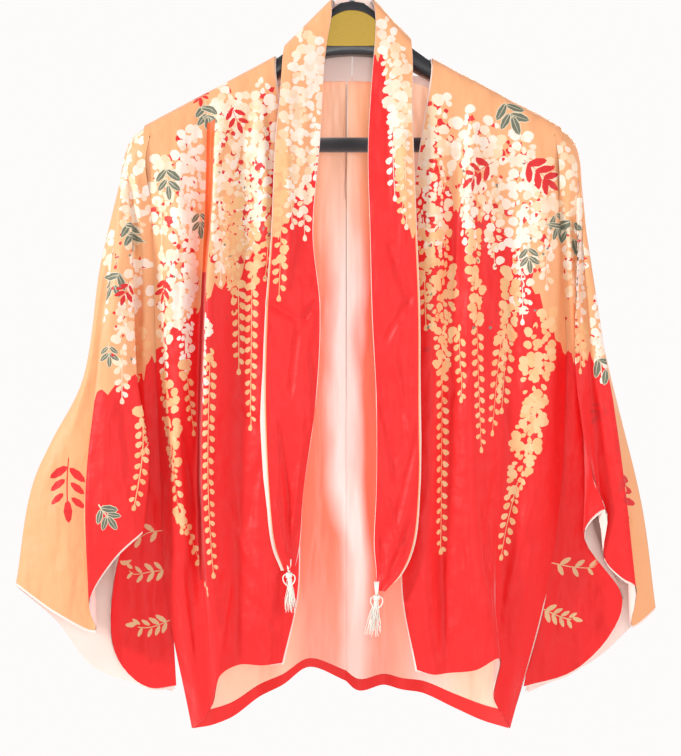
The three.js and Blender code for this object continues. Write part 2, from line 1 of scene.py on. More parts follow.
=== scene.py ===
# Short silk kimono jacket with a free scarf collar, hung open on a contoured suit hanger.
# Tables and sizes are in millimetres; MM brings them to the scene's metres.
import math
import random

import bpy
import numpy as np
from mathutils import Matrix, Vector
from mathutils.geometry import delaunay_2d_cdt


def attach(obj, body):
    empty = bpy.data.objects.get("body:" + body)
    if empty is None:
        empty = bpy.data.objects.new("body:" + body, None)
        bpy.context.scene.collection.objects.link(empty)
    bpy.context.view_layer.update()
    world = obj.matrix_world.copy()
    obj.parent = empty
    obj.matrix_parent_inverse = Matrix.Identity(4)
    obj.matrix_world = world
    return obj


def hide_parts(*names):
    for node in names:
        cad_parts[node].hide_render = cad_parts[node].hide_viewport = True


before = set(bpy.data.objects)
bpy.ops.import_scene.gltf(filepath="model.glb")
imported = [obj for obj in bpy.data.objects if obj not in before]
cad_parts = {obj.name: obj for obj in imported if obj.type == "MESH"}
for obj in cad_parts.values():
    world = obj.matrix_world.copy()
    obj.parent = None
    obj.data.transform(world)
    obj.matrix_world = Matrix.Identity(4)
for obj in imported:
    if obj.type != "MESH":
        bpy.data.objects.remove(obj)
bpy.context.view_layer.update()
MM = 0.001
scene = bpy.context.scene

# ---- Studio ----
# A white room, whose walls look brighter than they shine, with a strong lamp to the left and
# weaker ones in front, to the right and behind, and a camera level with the jacket's middle.
CAMERA_DISTANCE = 2.2
CAMERA_X, CAMERA_Z = -0.0115, -0.448
VIEW_HEIGHT = 0.756
SENSOR = 36
camera = bpy.data.objects.new("camera", bpy.data.cameras.new("camera"))
camera.data.sensor_width = SENSOR
camera.data.lens = SENSOR * CAMERA_DISTANCE / VIEW_HEIGHT
camera.location = (CAMERA_X, -CAMERA_DISTANCE, CAMERA_Z)
camera.rotation_euler = (math.pi / 2, 0, 0)
scene.collection.objects.link(camera)
scene.camera = camera
scene.view_settings.view_transform = "Standard"
scene.view_settings.look = "None"

world = bpy.data.worlds.new("white_room")
world.use_nodes = True
room = world.node_tree
walls = room.nodes["Background"]  # what the camera sees
walls.inputs["Color"].default_value = (1.0, 0.985, 0.98, 1)
walls.inputs["Strength"].default_value = 0.98
shade = room.nodes.new("ShaderNodeBackground")  # what lights the jacket
shade.inputs["Color"].default_value = (1.0, 0.975, 0.965, 1)
shade.inputs["Strength"].default_value = 0.62
seen = room.nodes.new("ShaderNodeLightPath")
blend = room.nodes.new("ShaderNodeMixShader")
room.links.new(seen.outputs["Is Camera Ray"], blend.inputs[0])
room.links.new(shade.outputs[0], blend.inputs[1])
room.links.new(walls.outputs[0], blend.inputs[2])
room.links.new(blend.outputs[0], room.nodes["World Output"].inputs["Surface"])
scene.world = world

for lamp_name, place, size, power in [
    ("key_lamp", (-2.6, -1.1, 0.6), 0.5, 64),
    ("front_lamp", (0.15, -2.5, -0.35), 0.7, 14),
    ("right_lamp", (2.6, -1.2, 0.1), 1.2, 20),
    ("back_lamp", (0.9, 2.3, 0.6), 1.2, 40),
]:
    lamp = bpy.data.objects.new(lamp_name, bpy.data.lights.new(lamp_name, "AREA"))
    lamp.data.size = size
    lamp.data.energy = power
    lamp.location = place
    aim = Vector((0, 0, CAMERA_Z)) - Vector(place)
    lamp.rotation_euler = aim.to_track_quat("-Z", "Y").to_euler()
    scene.collection.objects.link(lamp)


# ---- Body panels ----
# Each side's silk runs in one length from the front hem over the shoulder to the back hem.
# It hangs in soft lengthwise folds, and is printed with hanging blossom on apricot and red.
class Value:
    """A shader socket; arithmetic on it adds Math nodes."""

    def __init__(self, finish, socket):
        self.finish, self.socket = finish, socket

    def math(self, operation, *operands):
        sockets = dict(enumerate(operands))
        return self.finish.node("ShaderNodeMath", {"operation": operation}, sockets)

    def __add__(self, other):
        return self.math("ADD", self, other)

    __radd__ = __add__

    def __sub__(self, other):
        return self.math("SUBTRACT", self, other)

    def __rsub__(self, other):
        return self.math("SUBTRACT", other, self)

    def __mul__(self, other):
        return self.math("MULTIPLY", self, other)

    __rmul__ = __mul__


class Finish:
    """A material with one Principled BSDF, whose constant sockets are set when it is made."""

    def __init__(self, name, **constants):
        self.material = bpy.data.materials.new(name)
        self.material.use_nodes = True
        self.tree = self.material.node_tree
        self.shader = self.tree.nodes["Principled BSDF"]
        for socket, value in constants.items():
            self.shader.inputs[socket.replace("_", " ")].default_value = value

    def node(self, kind, settings=None, sockets=None, output=0):
        made = self.tree.nodes.new(kind)
        for key, value in (settings or {}).items():
            if key == "stops":
                for place, _ in value[2:]:
                    made.color_ramp.elements.new(place)
                for stop, (place, tone) in zip(made.color_ramp.elements, sorted(value)):
                    stop.position, stop.color = place, tone
            else:
                setattr(made, key, value)
        for key, value in (sockets or {}).items():
            self.join(value, made.inputs[key])
        return Value(self, made.outputs[output])

    def join(self, value, socket):
        if isinstance(value, Value):
            self.tree.links.new(value.socket, socket)
        else:
            socket.default_value = value

    def mix(self, factor, first, second, blend="MIX"):
        settings = {"data_type": "RGBA", "blend_type": blend}
        return self.node("ShaderNodeMix", settings, {0: factor, 6: first, 7: second}, output=2)

    def place(self, scale=(1, 1, 1)):
        point = self.node("ShaderNodeTexCoord", output=3)
        return self.node("ShaderNodeMapping", {}, {"Vector": point, "Scale": scale})

    def noise(self, vector, scale, detail=3.0, roughness=0.5):
        sockets = {"Vector": vector, "Scale": scale, "Detail": detail, "Roughness": roughness}
        return self.node("ShaderNodeTexNoise", {}, sockets)

    def bump(self, height, strength, distance):
        sockets = {"Height": height, "Strength": strength, "Distance": distance}
        self.use("Normal", self.node("ShaderNodeBump", {}, sockets))

    def use(self, socket, value):
        self.join(value, self.shader.inputs[socket])


def colour(red, green, blue):
    """A screen colour, 0 to 255, as the linear colour that the shaders use."""
    linear = [
        c / 12.92 if c <= 0.04045 else ((c + 0.055) / 1.055) ** 2.4
        for c in (red / 255, green / 255, blue / 255)
    ]
    return (*linear, 1.0)


def unit(vectors):
    return vectors / np.maximum(np.linalg.norm(vectors, axis=-1, keepdims=True), 1e-9)


def full_turn(count):
    """The angles of count even steps round a circle."""
    return np.linspace(0, 2 * math.pi, count + 1)[:-1]


def turned(x, y, angle):
    """Local points turned by an angle; at 0 their +y stays pointing down the cloth."""
    c, s = math.cos(angle), math.sin(angle)
    return np.stack([x * c + y * s, -x * s + y * c], axis=1)


def along(points, t):
    """A centripetal Catmull-Rom curve through points[level][sample], at t counted in levels."""
    ends = [2 * points[:1] - points[1:2], points, 2 * points[-1:] - points[-2:-1]]
    padded = np.concatenate(ends)
    first = np.clip(np.floor(t).astype(int), 0, len(points) - 2)
    w = (t - first)[:, None]
    sample = np.arange(len(t)) if points.shape[1] > 1 else np.zeros(len(t), int)
    p0, p1, p2, p3 = (padded[first + k, sample] for k in range(4))

    def knot(a, b):
        return np.maximum(np.sqrt(np.linalg.norm(b - a, axis=1)), 1e-3)[:, None]

    d0, d1, d2 = knot(p0, p1), knot(p1, p2), knot(p2, p3)
    m1 = ((p1 - p0) / d0 - (p2 - p0) / (d0 + d1) + (p2 - p1) / d1) * d1
    m2 = ((p2 - p1) / d1 - (p3 - p1) / (d1 + d2) + (p3 - p2) / d2) * d1
    cubic = 2 * p1 - 2 * p2 + m1 + m2
    square = -3 * p1 + 3 * p2 - 2 * m1 - m2
    return p1 + w * (m1 + w * (square + w * cubic))


class Cloth:
    """A sheet through fold lines. a and b are its flat measures, in mm: a across the fold
    lines, b along them. outward is 1 or -1 and turns the normals to the outer side."""

    def __init__(self, lines, outward, per_line=24, per_level=26, keep=None, creases=()):
        lines = np.array(lines, float)
        count, levels = lines.shape[:2]
        us = np.linspace(0, count - 1, (count - 1) * per_line + 1)
        vs = np.linspace(0, levels - 1, (levels - 1) * per_level + 1)
        down = np.array([along(line[:, None, :], vs) for line in lines])
        self.p = np.stack([along(down[:, i : i + 1, :], us) for i in range(len(vs))])
        if keep:
            self.p = keep(self.p, us)
        self.us, self.vs = us, vs
        across = np.linalg.norm(np.diff(self.p, axis=1), axis=2).mean(axis=0)
        length = np.linalg.norm(np.diff(self.p, axis=0), axis=2).mean(axis=1)
        self.a = np.concatenate([[0], np.cumsum(across)])
        self.b = np.concatenate([[0], np.cumsum(length)])
        self.width, self.length = self.a[-1], self.b[-1]
        self.outward = outward
        self.find_normals()
        for crease in creases:
            self.press(*crease)
        self.find_normals()

    def find_normals(self):
        da = np.gradient(self.p, axis=1)
        db = np.gradient(self.p, axis=0)
        self.n = unit(np.cross(da, db) * self.outward)

    def press(self, facing, start, end, width, depth):
        """A soft trough, or a ridge where depth is negative, from start to end, each (x, z)."""
        start, end = np.array(start, float), np.array(end, float)
        reach = end - start
        point = self.p[:, :, [0, 2]] - start
        t = (point @ reach) / (reach @ reach)
        gap = np.linalg.norm(point - np.clip(t, 0, 1)[..., None] * reach, axis=2)
        fade = np.clip(np.minimum(t + 0.15, 1.15 - t) / 0.35, 0, 1)
        side = np.clip(self.n[:, :, 1] * facing * 3, 0, 1)
        height = -depth * np.exp(-((gap / width) ** 2)) * fade * fade * side
        self.p = self.p + self.n * height[..., None]

    def at(self, places, field=None):
        """Positions of flat points, or the values there of another field on the grid."""
        field = self.p if field is None else field
        column = np.interp(places[:, 0], self.a, np.arange(len(self.a)))
        row = np.interp(places[:, 1], self.b, np.arange(len(self.b)))
        c = np.minimum(column.astype(int), len(self.a) - 2)
        r = np.minimum(row.astype(int), len(self.b) - 2)
        s, t = (column - c)[:, None], (row - r)[:, None]
        low = field[r, c] * (1 - s) + field[r, c + 1] * s
        high = field[r + 1, c] * (1 - s) + field[r + 1, c + 1] * s
        return low * (1 - t) + high * t

    def beyond(self, places):
        """Positions of flat points that may lie past the cloth's edges."""
        held = np.clip(places, 0, [self.width, self.length])
        back = np.clip(places, 3, [self.width - 3, self.length - 3])
        edge = self.at(held)
        over = np.linalg.norm(places - held, axis=1)[:, None]
        away = edge - self.at(np.where(places == held, held, back))
        return edge + unit(away) * over

    def line_place(self, u):
        """The flat measure across the cloth at fold line u."""
        return float(np.interp(u, self.us, self.a))

    def level_place(self, v):
        return float(np.interp(v, self.vs, self.b))

    def spread(self, first, last):
        """The mean real width across the cloth between two flat lengths."""
        rows = (self.b >= first - 3) & (self.b <= last + 3)
        return float(np.linalg.norm(np.diff(self.p[rows], axis=1), axis=2).sum(axis=1).mean())

    def find(self, x, z, facing=-1):
        """The flat place of the foremost cloth at x, z on the front (-1) or back (1)."""
        off = (self.p[..., 0] - x) ** 2 + (self.p[..., 2] - z) ** 2
        off = off + 3 * self.p[..., 1] * -facing + 1e6 * (self.n[..., 1] * facing < 0.02)
        row, column = np.unravel_index(np.argmin(off), off.shape)
        return self.a[column], self.b[row]

    def frame(self, place):
        """Flat steps for one millimetre sideways and one millimetre downwards on the cloth."""
        h = 1.0
        around = np.array([[-h, 0], [h, 0], [0, -h], [0, h]]) + place
        p = self.at(np.clip(around, 0, [self.width, self.length]))
        ja, jb = (p[1] - p[0]) / (2 * h), (p[3] - p[2]) / (2 * h)
        size = max(np.linalg.norm(jb), 0.2)
        turn = -1 if jb[2] > 0 else 1
        down = jb / size * turn
        side = ja - down * (ja @ down)
        side_size = max(np.linalg.norm(side), 0.2)
        right = 1 if ja[0] >= 0 else -1
        sideways = np.array([right / side_size, 0.0])
        sideways[1] = -(ja @ down) * right / side_size / size * turn
        return sideways, np.array([0.0, turn / size])


class Print:
    """Shapes of dye in a cloth's flat measures; the later ones lie on top."""

    def __init__(self, cloth, ground):
        self.cloth, self.ground = cloth, ground
        self.outlines, self.colours = [], []

    def shape(self, outline, dye):
        """Adds an outline, cut off at the cloth's edges and turned anticlockwise."""
        ends = (self.cloth.width, self.cloth.length)
        for axis, sign, limit in [(0, 1, 0), (0, -1, -ends[0]), (1, 1, 0), (1, -1, -ends[1])]:
            kept = []
            for p, q in zip(outline, np.roll(outline, -1, axis=0)):
                p_in, q_in = sign * p[axis] - limit, sign * q[axis] - limit
                if p_in >= 0:
                    kept.append(p)
                if p_in * q_in < 0:
                    kept.append(p + (q - p) * p_in / (p_in - q_in))
            if len(kept) < 3:
                return
            outline = np.array(kept)
        steps = [np.linspace(p, q, max(math.ceil(math.dist(p, q) / 4), 1), endpoint=False)
                 for p, q in zip(outline, np.roll(outline, -1, axis=0))]
        outline = np.concatenate(steps)
        (a, b), (c, d) = outline.T, np.roll(outline, -1, axis=0).T
        area = np.sum(a * d - c * b) / 2
        if abs(area) < 0.2:
            return
        self.outlines.append(outline if area > 0 else outline[::-1])
        self.colours.append(dye)

    def on_cloth(self, centre, local):
        """Local (sideways, down) millimetres round a flat place, as flat measures."""
        sideways, down = self.cloth.frame(np.array(centre))
        local = np.array(local)
        return np.array(centre) + local[:, :1] * sideways + local[:, 1:] * down

    def petal(self, centre, angle, long, wide, dye, fullness=0.35):
        """A drop-shaped petal whose round end points at angle, 0 being straight down."""
        turns = full_turn(OUTLINE_POINTS)
        y = -np.cos(turns) * long / 2
        x = np.sin(turns) * wide / 2 * (1 + fullness * -np.cos(turns))
        self.shape(self.on_cloth(centre, turned(x, y, angle)), dye)

    def leaf(self, centre, angle, long, wide, dye, vein=None):
        turns = full_turn(OUTLINE_POINTS)
        y = -np.cos(turns) * long / 2
        x = np.sin(turns) * np.abs(np.sin(turns)) ** 0.4 * wide / 2
        self.shape(self.on_cloth(centre, turned(x, y, angle)), dye)
        if vein:
            rib = np.array([-0.35, 0.35, 0.12, -0.12])
            run = np.array([-0.48, -0.48, 0.42, 0.42]) * long
            self.shape(self.on_cloth(centre, turned(rib, run, angle)), vein)

    def stem(self, start, end, thick, dye):
        """A thin line between two flat places."""
        start, end = np.array(start), np.array(end)
        run = end - start
        length = max(np.linalg.norm(run), 1e-6)
        off = np.array([-run[1], run[0]]) / length * thick / 2
        self.shape(np.array([start + off, start - off, end - off, end + off]), dye)


OUTLINE_POINTS = 8  # round a petal or a leaf
STEM_WIDTH = 0.7
FLECK_PITCH = 2.6  # mm of a blossom's crown for each try at a fleck
FLORET_AREA = 12  # square mm of crown for each try at a floret
FLORET_ROOM = 5.3  # least distance between florets of size 1
BUD_PITCH = 10.5

APRICOT = [(252, 206, 150), (252, 213, 162), (250, 199, 142)]
GROUND = (250, 187, 136)
CREAM = [(255, 242, 220), (254, 234, 206), (255, 248, 234), (253, 226, 188)]
WHITE = [(255, 252, 244), (255, 246, 232), (255, 249, 238), (254, 238, 218)]
RED = (247, 34, 36)
CHIP_RED, CHIP_BRIGHT = (226, 40, 44), (238, 60, 56)
LEAF_GREY = (112, 124, 108)
LEAF_PALE = (226, 222, 196)
LINE_GREY = (140, 142, 132)


def raceme(sheet, top, tip, width, tones, facing=-1, thin=0.35, chips=0.0):
    """A hanging blossom: crowded florets above, and buds in pairs on the stem towards the
    tip. chips is how much red shows between the florets."""
    start = np.array(sheet.cloth.find(*top, facing))
    end = np.array(sheet.cloth.find(*tip, facing))
    length = math.dist(top, tip)
    lean = math.atan2(tip[0] - top[0], top[1] - tip[1])
    crown = length * (1 - thin)

    def beside(t, off, slip=0):
        """The flat place at a share t of the way down, off mm to the side."""
        return sheet.on_cloth(start + (end - start) * t, [(off, slip)])[0]

    for _ in range(int(chips * crown / FLECK_PITCH)):
        t = random.uniform(0.05, 0.95) * (1 - thin)
        fleck(sheet, beside(t, random.uniform(-0.45, 0.45) * width), random.uniform(5, 10))
    stem_from = start + (end - start) * (1 - thin) * 0.8
    sheet.stem(stem_from, end, STEM_WIDTH, colour(*tones[0]))
    taken = []
    for _ in range(int(crown * width / FLORET_AREA)):
        t = random.random() ** 0.9
        half = width / 2 * min(1, 0.45 + 1.6 * t) * (1 - 0.62 * t * t)
        off = random.uniform(-half, half)
        down = t * crown
        size = random.uniform(0.7, 1.35) * (1.12 - 0.3 * t)
        room = FLORET_ROOM * size
        if any((off - x) ** 2 + (down - y) ** 2 < room * room for x, y in taken):
            continue
        taken.append((off, down))
        centre = beside(down / length, off)
        angle = lean + off / max(half, 1) * 0.9 + random.uniform(-0.5, 0.5)
        dye = colour(*random.choice(tones))
        if size > 0.95:
            for turn in (angle - 0.5, angle + 0.5):
                shift = (2.0 * size * math.sin(turn), 2.0 * size * math.cos(turn))
                lobe = sheet.on_cloth(centre, [shift])[0]
                sheet.petal(lobe, turn, 8.6 * size, 7.0 * size, dye, 0.2)
        else:
            sheet.petal(centre, angle, 8.4 * size, 5.8 * size, dye)
    for k in range(int(length * thin / BUD_PITCH)):
        t = 1 - thin + (k + 0.5) * BUD_PITCH / length
        fade = 1.05 - 0.35 * k * BUD_PITCH / max(length * thin, 1)
        for side in (-1, 1):
            reach = 3.9 * fade + random.uniform(-0.5, 0.5)
            slip = side * 2.6 + random.uniform(-1.2, 1.2)
            centre = beside(t, side * reach, slip)
            angle = lean + side * random.uniform(0.55, 0.95)
            dye = colour(*random.choice(tones))
            sheet.petal(centre, angle, 8.4 * fade, 5.6 * fade, dye)
    sheet.petal(end, lean, 7, 4.4, colour(*tones[0]))


def fleck(sheet, centre, size):
    """A small angular patch of red."""
    turns = full_turn(7) + random.uniform(0, 1)
    reach = [size / 2 * random.uniform(0.45, 1.1) for _ in turns]
    local = [(r * math.cos(t), r * math.sin(t)) for r, t in zip(reach, turns)]
    sheet.shape(sheet.on_cloth(centre, local), colour(*random.choice([CHIP_RED, CHIP_BRIGHT])))


def sprig(sheet, base, angle, pairs, long, tone, rib=None, facing=-1):
    """A stalk with leaves in pairs and one at the end; angle 0 points straight down. With a
    rib colour each leaf has that rim and midrib."""
    root = np.array(sheet.cloth.find(*base, facing))
    step = long * 0.56
    run = np.array([math.sin(angle), math.cos(angle)])
    tip = sheet.on_cloth(root, [run * step * (pairs + 0.2)])[0]
    sheet.stem(root, tip, STEM_WIDTH, colour(*(rib or tone)))
    places = [(run * step * (k + 0.6), angle + side * 0.85, long * (1 - 0.08 * k))
              for k in range(pairs) for side in (-1, 1)]
    places.append((run * step * pairs, angle, long))
    for start, turn, size in places:
        size *= random.uniform(0.88, 1.08)
        reach = start + np.array([math.sin(turn), math.cos(turn)]) * long * 0.5
        place = sheet.on_cloth(root, [reach])[0]
        if rib:
            sheet.leaf(place, turn, size * 1.08, size * 0.5, colour(*rib))
        sheet.leaf(place, turn, size, size * 0.4, colour(*tone), rib and colour(*rib))


def leaves(sheet, base, angle, pairs, long, green=True):
    """A spray of pointed leaves, grey-green with pale ribs or plain red."""
    if green:
        sprig(sheet, base, angle, pairs, long, LEAF_GREY, LEAF_PALE)
    else:
        sprig(sheet, base, angle, pairs, long, CHIP_RED)


def edge_points(cloth, height, levels):
    """Flat points where the cloth reaches height(x) between two levels, line by line."""
    points = []
    rows = np.nonzero((cloth.vs >= levels[0]) & (cloth.vs <= levels[1]))[0]
    for column in range(0, len(cloth.a), 3):
        p = cloth.p[rows, column]
        above = p[:, 2] - np.array([height(x) for x in p[:, 0]])
        change = np.nonzero(above[:-1] * above[1:] <= 0)[0]
        if len(change):
            i = change[0]
            t = above[i] / (above[i] - above[i + 1] + 1e-9)
            b = cloth.b[rows]
            points.append((cloth.a[column], b[i] + t * (b[i + 1] - b[i])))
    return points


def height_between(table):
    """A height that runs straight between the rows (x, z) of a table."""
    xs, zs = zip(*sorted(table))
    return lambda x: float(np.interp(x, xs, zs))


def top_shapes(outlines, centres):
    """For each centre the number of the last outline round it, or -1."""
    top = np.full(len(centres), -1)
    order = np.argsort(centres[:, 1])
    sorted_b = centres[order, 1]
    for number, outline in enumerate(outlines):
        (low_a, low_b), (high_a, high_b) = outline.min(axis=0), outline.max(axis=0)
        near = order[np.searchsorted(sorted_b, low_b) : np.searchsorted(sorted_b, high_b)]
        near = near[(centres[near, 0] > low_a) & (centres[near, 0] < high_a)]
        x, y = centres[near, 0][:, None], centres[near, 1][:, None]
        (x1, y1), (x2, y2) = outline.T, np.roll(outline, -1, axis=0).T
        straddles = (y1 > y) != (y2 > y)
        rise = np.where(y2 == y1, 1e-9, y2 - y1)
        crossings = straddles & (x < x1 + (y - y1) * (x2 - x1) / rise)
        top[near[crossings.sum(axis=1) % 2 == 1]] = number
    return top


def link(piece):
    scene.collection.objects.link(piece)
    return piece


def fit(piece, node, flat=None):
    """Fixes a piece to the part's one body, in place of a node. flat, a cloth piece's flat width and length
    in mm, is not used."""
    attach(piece, "root")
    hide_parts(node)
    if flat:
        flat[0] * MM
        flat[1] * MM


def shell(name, outer, inner, normals, triangles, flat, materials, tones=None):
    """A thin closed shell between two skins with the same triangles. Loose edges get a rim."""
    count = len(flat)
    triangles = np.asarray(triangles)
    starts = triangles.ravel()
    ends = np.roll(triangles, -1, axis=1).ravel()
    keys = starts.astype(np.int64) * count + ends
    loose = ~np.isin(keys, ends.astype(np.int64) * count + starts)
    rim_start, rim_end = starts[loose], ends[loose]
    rim_owner = np.repeat(np.arange(len(triangles)), 3)[loose]
    rim = np.stack([rim_end, rim_start, rim_start + count, rim_end + count], axis=1)
    mesh = bpy.data.meshes.new(name)
    points = np.concatenate([outer, inner]) * MM
    polygons = [*triangles.tolist(), *(triangles[:, ::-1] + count).tolist(), *rim.tolist()]
    mesh.from_pydata(points.tolist(), [], polygons)
    mesh.polygons.foreach_set("use_smooth", np.ones(len(polygons), bool))
    for finish in materials:
        mesh.materials.append(finish.material)
    half = len(triangles)
    slots = np.zeros(len(polygons), int)
    slots[half : 2 * half] = len(materials) - 1
    mesh.polygons.foreach_set("material_index", slots)
    corners = np.concatenate([starts, triangles[:, ::-1].ravel() + count, rim.ravel()])
    if tones is not None:
        dyes = np.concatenate([np.repeat(tones, 3, axis=0), np.repeat(tones, 3, axis=0),
                               np.repeat(tones[rim_owner], 4, axis=0)])
        layer = mesh.color_attributes.new("print", "FLOAT_COLOR", "CORNER")
        layer.data.foreach_set("color", dyes.ravel())
    low, reach = flat.min(axis=0), np.ptp(flat, axis=0)
    spot = flat[corners % count] - low
    spot[:, 0] += (corners >= count) * (reach[0] + 10)
    side = max(2 * reach[0] + 20, reach[1])
    uv = mesh.uv_layers.new(name="OFBake")
    uv.data.foreach_set("uv", (spot / side * 0.98 + 0.01).ravel())
    mesh.update()
    mesh.normals_split_custom_set_from_vertices(np.concatenate([normals, -normals]).tolist())
    return link(bpy.data.objects.new(name, mesh))


def cut_cloth(name, cloth, dyed, finish, inside, thick, step=(2.6, 6.0)):
    """The printed sheet as a thin shell. Every outline of dye is an edge of the mesh, so the
    print is crisp; the inner side carries the lining's finish."""
    across = max(int(cloth.width / step[0]), 4)
    down = max(int(cloth.length / step[1]), 4)
    a, b = np.meshgrid(np.linspace(0, cloth.width, across + 1),
                       np.linspace(0, cloth.length, down + 1))
    places = [Vector(p) for p in np.stack([a.ravel(), b.ravel()], axis=1)]
    edges = []
    for outline in dyed.outlines:
        first, size = len(places), len(outline)
        edges.extend((first + i, first + (i + 1) % size) for i in range(size))
        places.extend(Vector(p) for p in outline)
    flat, _, triangles, _, _, _ = delaunay_2d_cdt(places, edges, [], 0, 0.02, False)
    flat = np.array([tuple(p) for p in flat])
    triangles = np.array(triangles)
    sides = np.linalg.norm(flat[triangles] - flat[np.roll(triangles, 1, axis=1)], axis=2)
    triangles = triangles[sides.max(axis=1) < 1.3 * math.hypot(*step)]
    top = top_shapes(dyed.outlines, flat[triangles].mean(axis=1))
    tones = np.array([*dyed.colours, dyed.ground])[top]
    if cloth.outward < 0:
        triangles = triangles[:, ::-1]
    outer, normals = cloth.at(flat), unit(cloth.at(flat, cloth.n))
    return shell(name, outer, outer - normals * thick, normals, triangles, flat, (finish, inside),
                 tones)


silk = Finish("printed_silk", Roughness=0.55, Specular_IOR_Level=0.35, Sheen_Weight=0.25,
              Sheen_Roughness=0.4)
dye = silk.node("ShaderNodeAttribute", {"attribute_name": "print"})
weave_place = silk.place()
slub = silk.noise(silk.place((1, 1, 0.15)), 320, 3)
cloud = silk.noise(weave_place, 9, 2)
ink = silk.mix(1.0, dye, (0.92, 0.84, 0.80, 1), "MULTIPLY")
# A faint warm darkening of the print, in cloudy patches given by noise; it does not follow the folds.
cloudy_warm_tint = (0.75, 0.42, 0.36, 1)
silk.use("Base Color", silk.mix(cloud * 0.16 + slub * 0.05, ink, cloudy_warm_tint, "MULTIPLY"))
silk.use("Roughness", 0.46 + slub * 0.12)
drape = silk.noise(silk.place((1, 0.6, 0.28)), 30, 2.5, 0.45)
rumple = silk.noise(silk.place((1, 0.6, 0.75)), 62, 2, 0.4)
weave = silk.noise(weave_place, 900, 4, 0.6)
silk.bump(drape + rumple * 0.3 + (weave + slub * 0.6) * 0.006, 0.75, 0.012)

lining_silk = Finish("lining_silk", Roughness=0.42, Specular_IOR_Level=0.45, Sheen_Weight=0.2)
lining_cloud = lining_silk.noise(lining_silk.place(), 14, 3)
lining_tone = lining_silk.mix(lining_cloud, colour(255, 238, 230), colour(252, 214, 202))
lining_silk.use("Base Color", lining_tone)
lining_silk.bump(lining_silk.noise(lining_silk.place((1, 1, 0.2)), 700, 3), 0.08, 0.0005)

CENTRE_X = -5
HANGER = np.array([  # x, top, bottom, half depth, forward
    (0, -72, -125.5, 11, 0), (12, -74, -126, 11, 0), (22, -82, -127, 11, 0),
    (30, -94, -129, 11, 0), (38, -102, -131.5, 11, 0), (57, -116, -140, 11.5, 0.5),
    (79, -132, -152, 12.5, 1), (120, -154, -175, 15, 2.5), (160, -176, -198, 17, 5),
    (195, -194, -217, 18, 7.5), (208, -202, -219, 16, 8.5), (215, -209, -218, 11, 9),
])
ARM_CLEARANCE = 4.2


def hanger_at(reach):
    """The hanger's top, bottom, half depth and forward shift at a distance from its middle."""
    return [np.interp(reach, HANGER[:, 0], HANGER[:, k]) for k in range(1, 5)]


def over_arm(x):
    """The points where a fold line crosses the hanger's arm, front to back."""
    top, _, half, forward = hanger_at(abs(x))
    half += ARM_CLEARANCE
    section = [(-1, 10), (-0.75, 0), (0, -ARM_CLEARANCE), (0.75, 0), (1, 10)]
    return [(x, share * half - forward, top - drop) for share, drop in section]


# Fold lines of the fronts: arm crossing, then (x, y) at the levels, then the hem (x, y, z).
FRONT_Z = (-280, -420, -560, -660)
FRONT_LEFT = [
    (-77, (-62, -24), (-58, -26), (-54, -28), (-54, -30), (-69, -30, -729)),
    (-92, (-84, -31), (-84, -33), (-86, -35), (-90, -38), (-88, -34, -731)),
    (-110, (-112, -24), (-113, -24), (-115, -24), (-114, -26), (-112, -30, -731)),
    (-130, (-137, -40), (-143, -42), (-145, -42), (-138, -40), (-130, -36, -741)),
    (-142, (-145, -22), (-151, -20), (-153, -20), (-149, -22), (-139, -25, -772)),
    (-168, (-169, -34), (-171, -34), (-171, -32), (-166, -28), (-149, -18, -788)),
    (-206, (-200, -22), (-195, -18), (-190, -8), (-186, -3), (-160, -1.8, -798)),
]
FRONT_RIGHT = [
    (80, (60, -24), (56, -26), (52, -28), (50, -30), (64, -30, -736)),
    (94, (82, -33), (80, -34), (76, -36), (72, -37), (80, -35, -740)),
    (108, (103, -24), (97, -25), (91, -26), (88, -28), (95, -30, -739)),
    (124, (116, -38), (116, -38), (116, -40), (117, -40), (122, -38, -735)),
    (138, (130, -27), (130, -29), (133, -33), (138, -37), (145, -37, -724)),
    (160, (156, -22), (153, -21), (148, -20), (146, -19), (141, -20, -765)),
    (184, (187, -33), (189, -31), (184, -26), (173, -20), (152, -11, -787)),
    (207, (208, -22), (212, -18), (208, -8), (194, -3), (158, -1.8, -798)),
]
# Fold lines of the backs: the nape (x, y, z), then (x, y) at the levels, then the hem.
BACK_Z = (-280, -420, -560, -670)
CENTRE_SEAM = (
    (CENTRE_X, 18, -147), (CENTRE_X, 20), (CENTRE_X, 22), (CENTRE_X, 24), (CENTRE_X, 26),
    (CENTRE_X, 28, -754),
)
BACK_LEFT = [
    CENTRE_SEAM,
    ((-26, 20, -149), (-30, 28), (-34, 31), (-38, 32), (-42, 31), (-44, 30, -740)),
    ((-54, 20, -154), (-60, 20), (-63, 19), (-67, 20), (-70, 22), (-71, 24, -758)),
    ((-82, 21, -162), (-89, 30), (-92, 33), (-94, 34), (-96, 33), (-96, 32, -772)),
    ((-112, 22, -176), (-117, 20), (-120, 19), (-122, 20), (-123, 22), (-122, 25, -790)),
    ((-150, 22, -194), (-152, 32), (-153, 33), (-152, 30), (-150, 25), (-141, 20, -797)),
    ((-206, 17, -218), (-200, 22), (-195, 18), (-190, 8), (-185, 3), (-160, 1.8, -798)),
]
BACK_RIGHT = [
    CENTRE_SEAM,
    ((12, 19, -147), (12, 18), (12, 17), (10, 18), (8, 21), (7, 24, -763)),
    ((36, 20, -150), (38, 28), (38, 31), (37, 32), (35, 31), (32, 30, -758)),
    ((60, 20, -155), (62, 20), (62, 19), (60, 19), (56, 21), (51, 24, -762)),
    ((86, 21, -163), (90, 30), (90, 33), (86, 34), (80, 33), (73, 32, -767)),
    ((118, 22, -178), (124, 20), (124, 19), (120, 20), (113, 22), (105, 26, -781)),
    ((156, 21, -197), (162, 32), (164, 32), (160, 28), (150, 22), (132, 16, -792)),
    ((207, 16, -219), (208, 22), (212, 18), (208, 8), (194, 3), (158, 1.8, -798)),
]
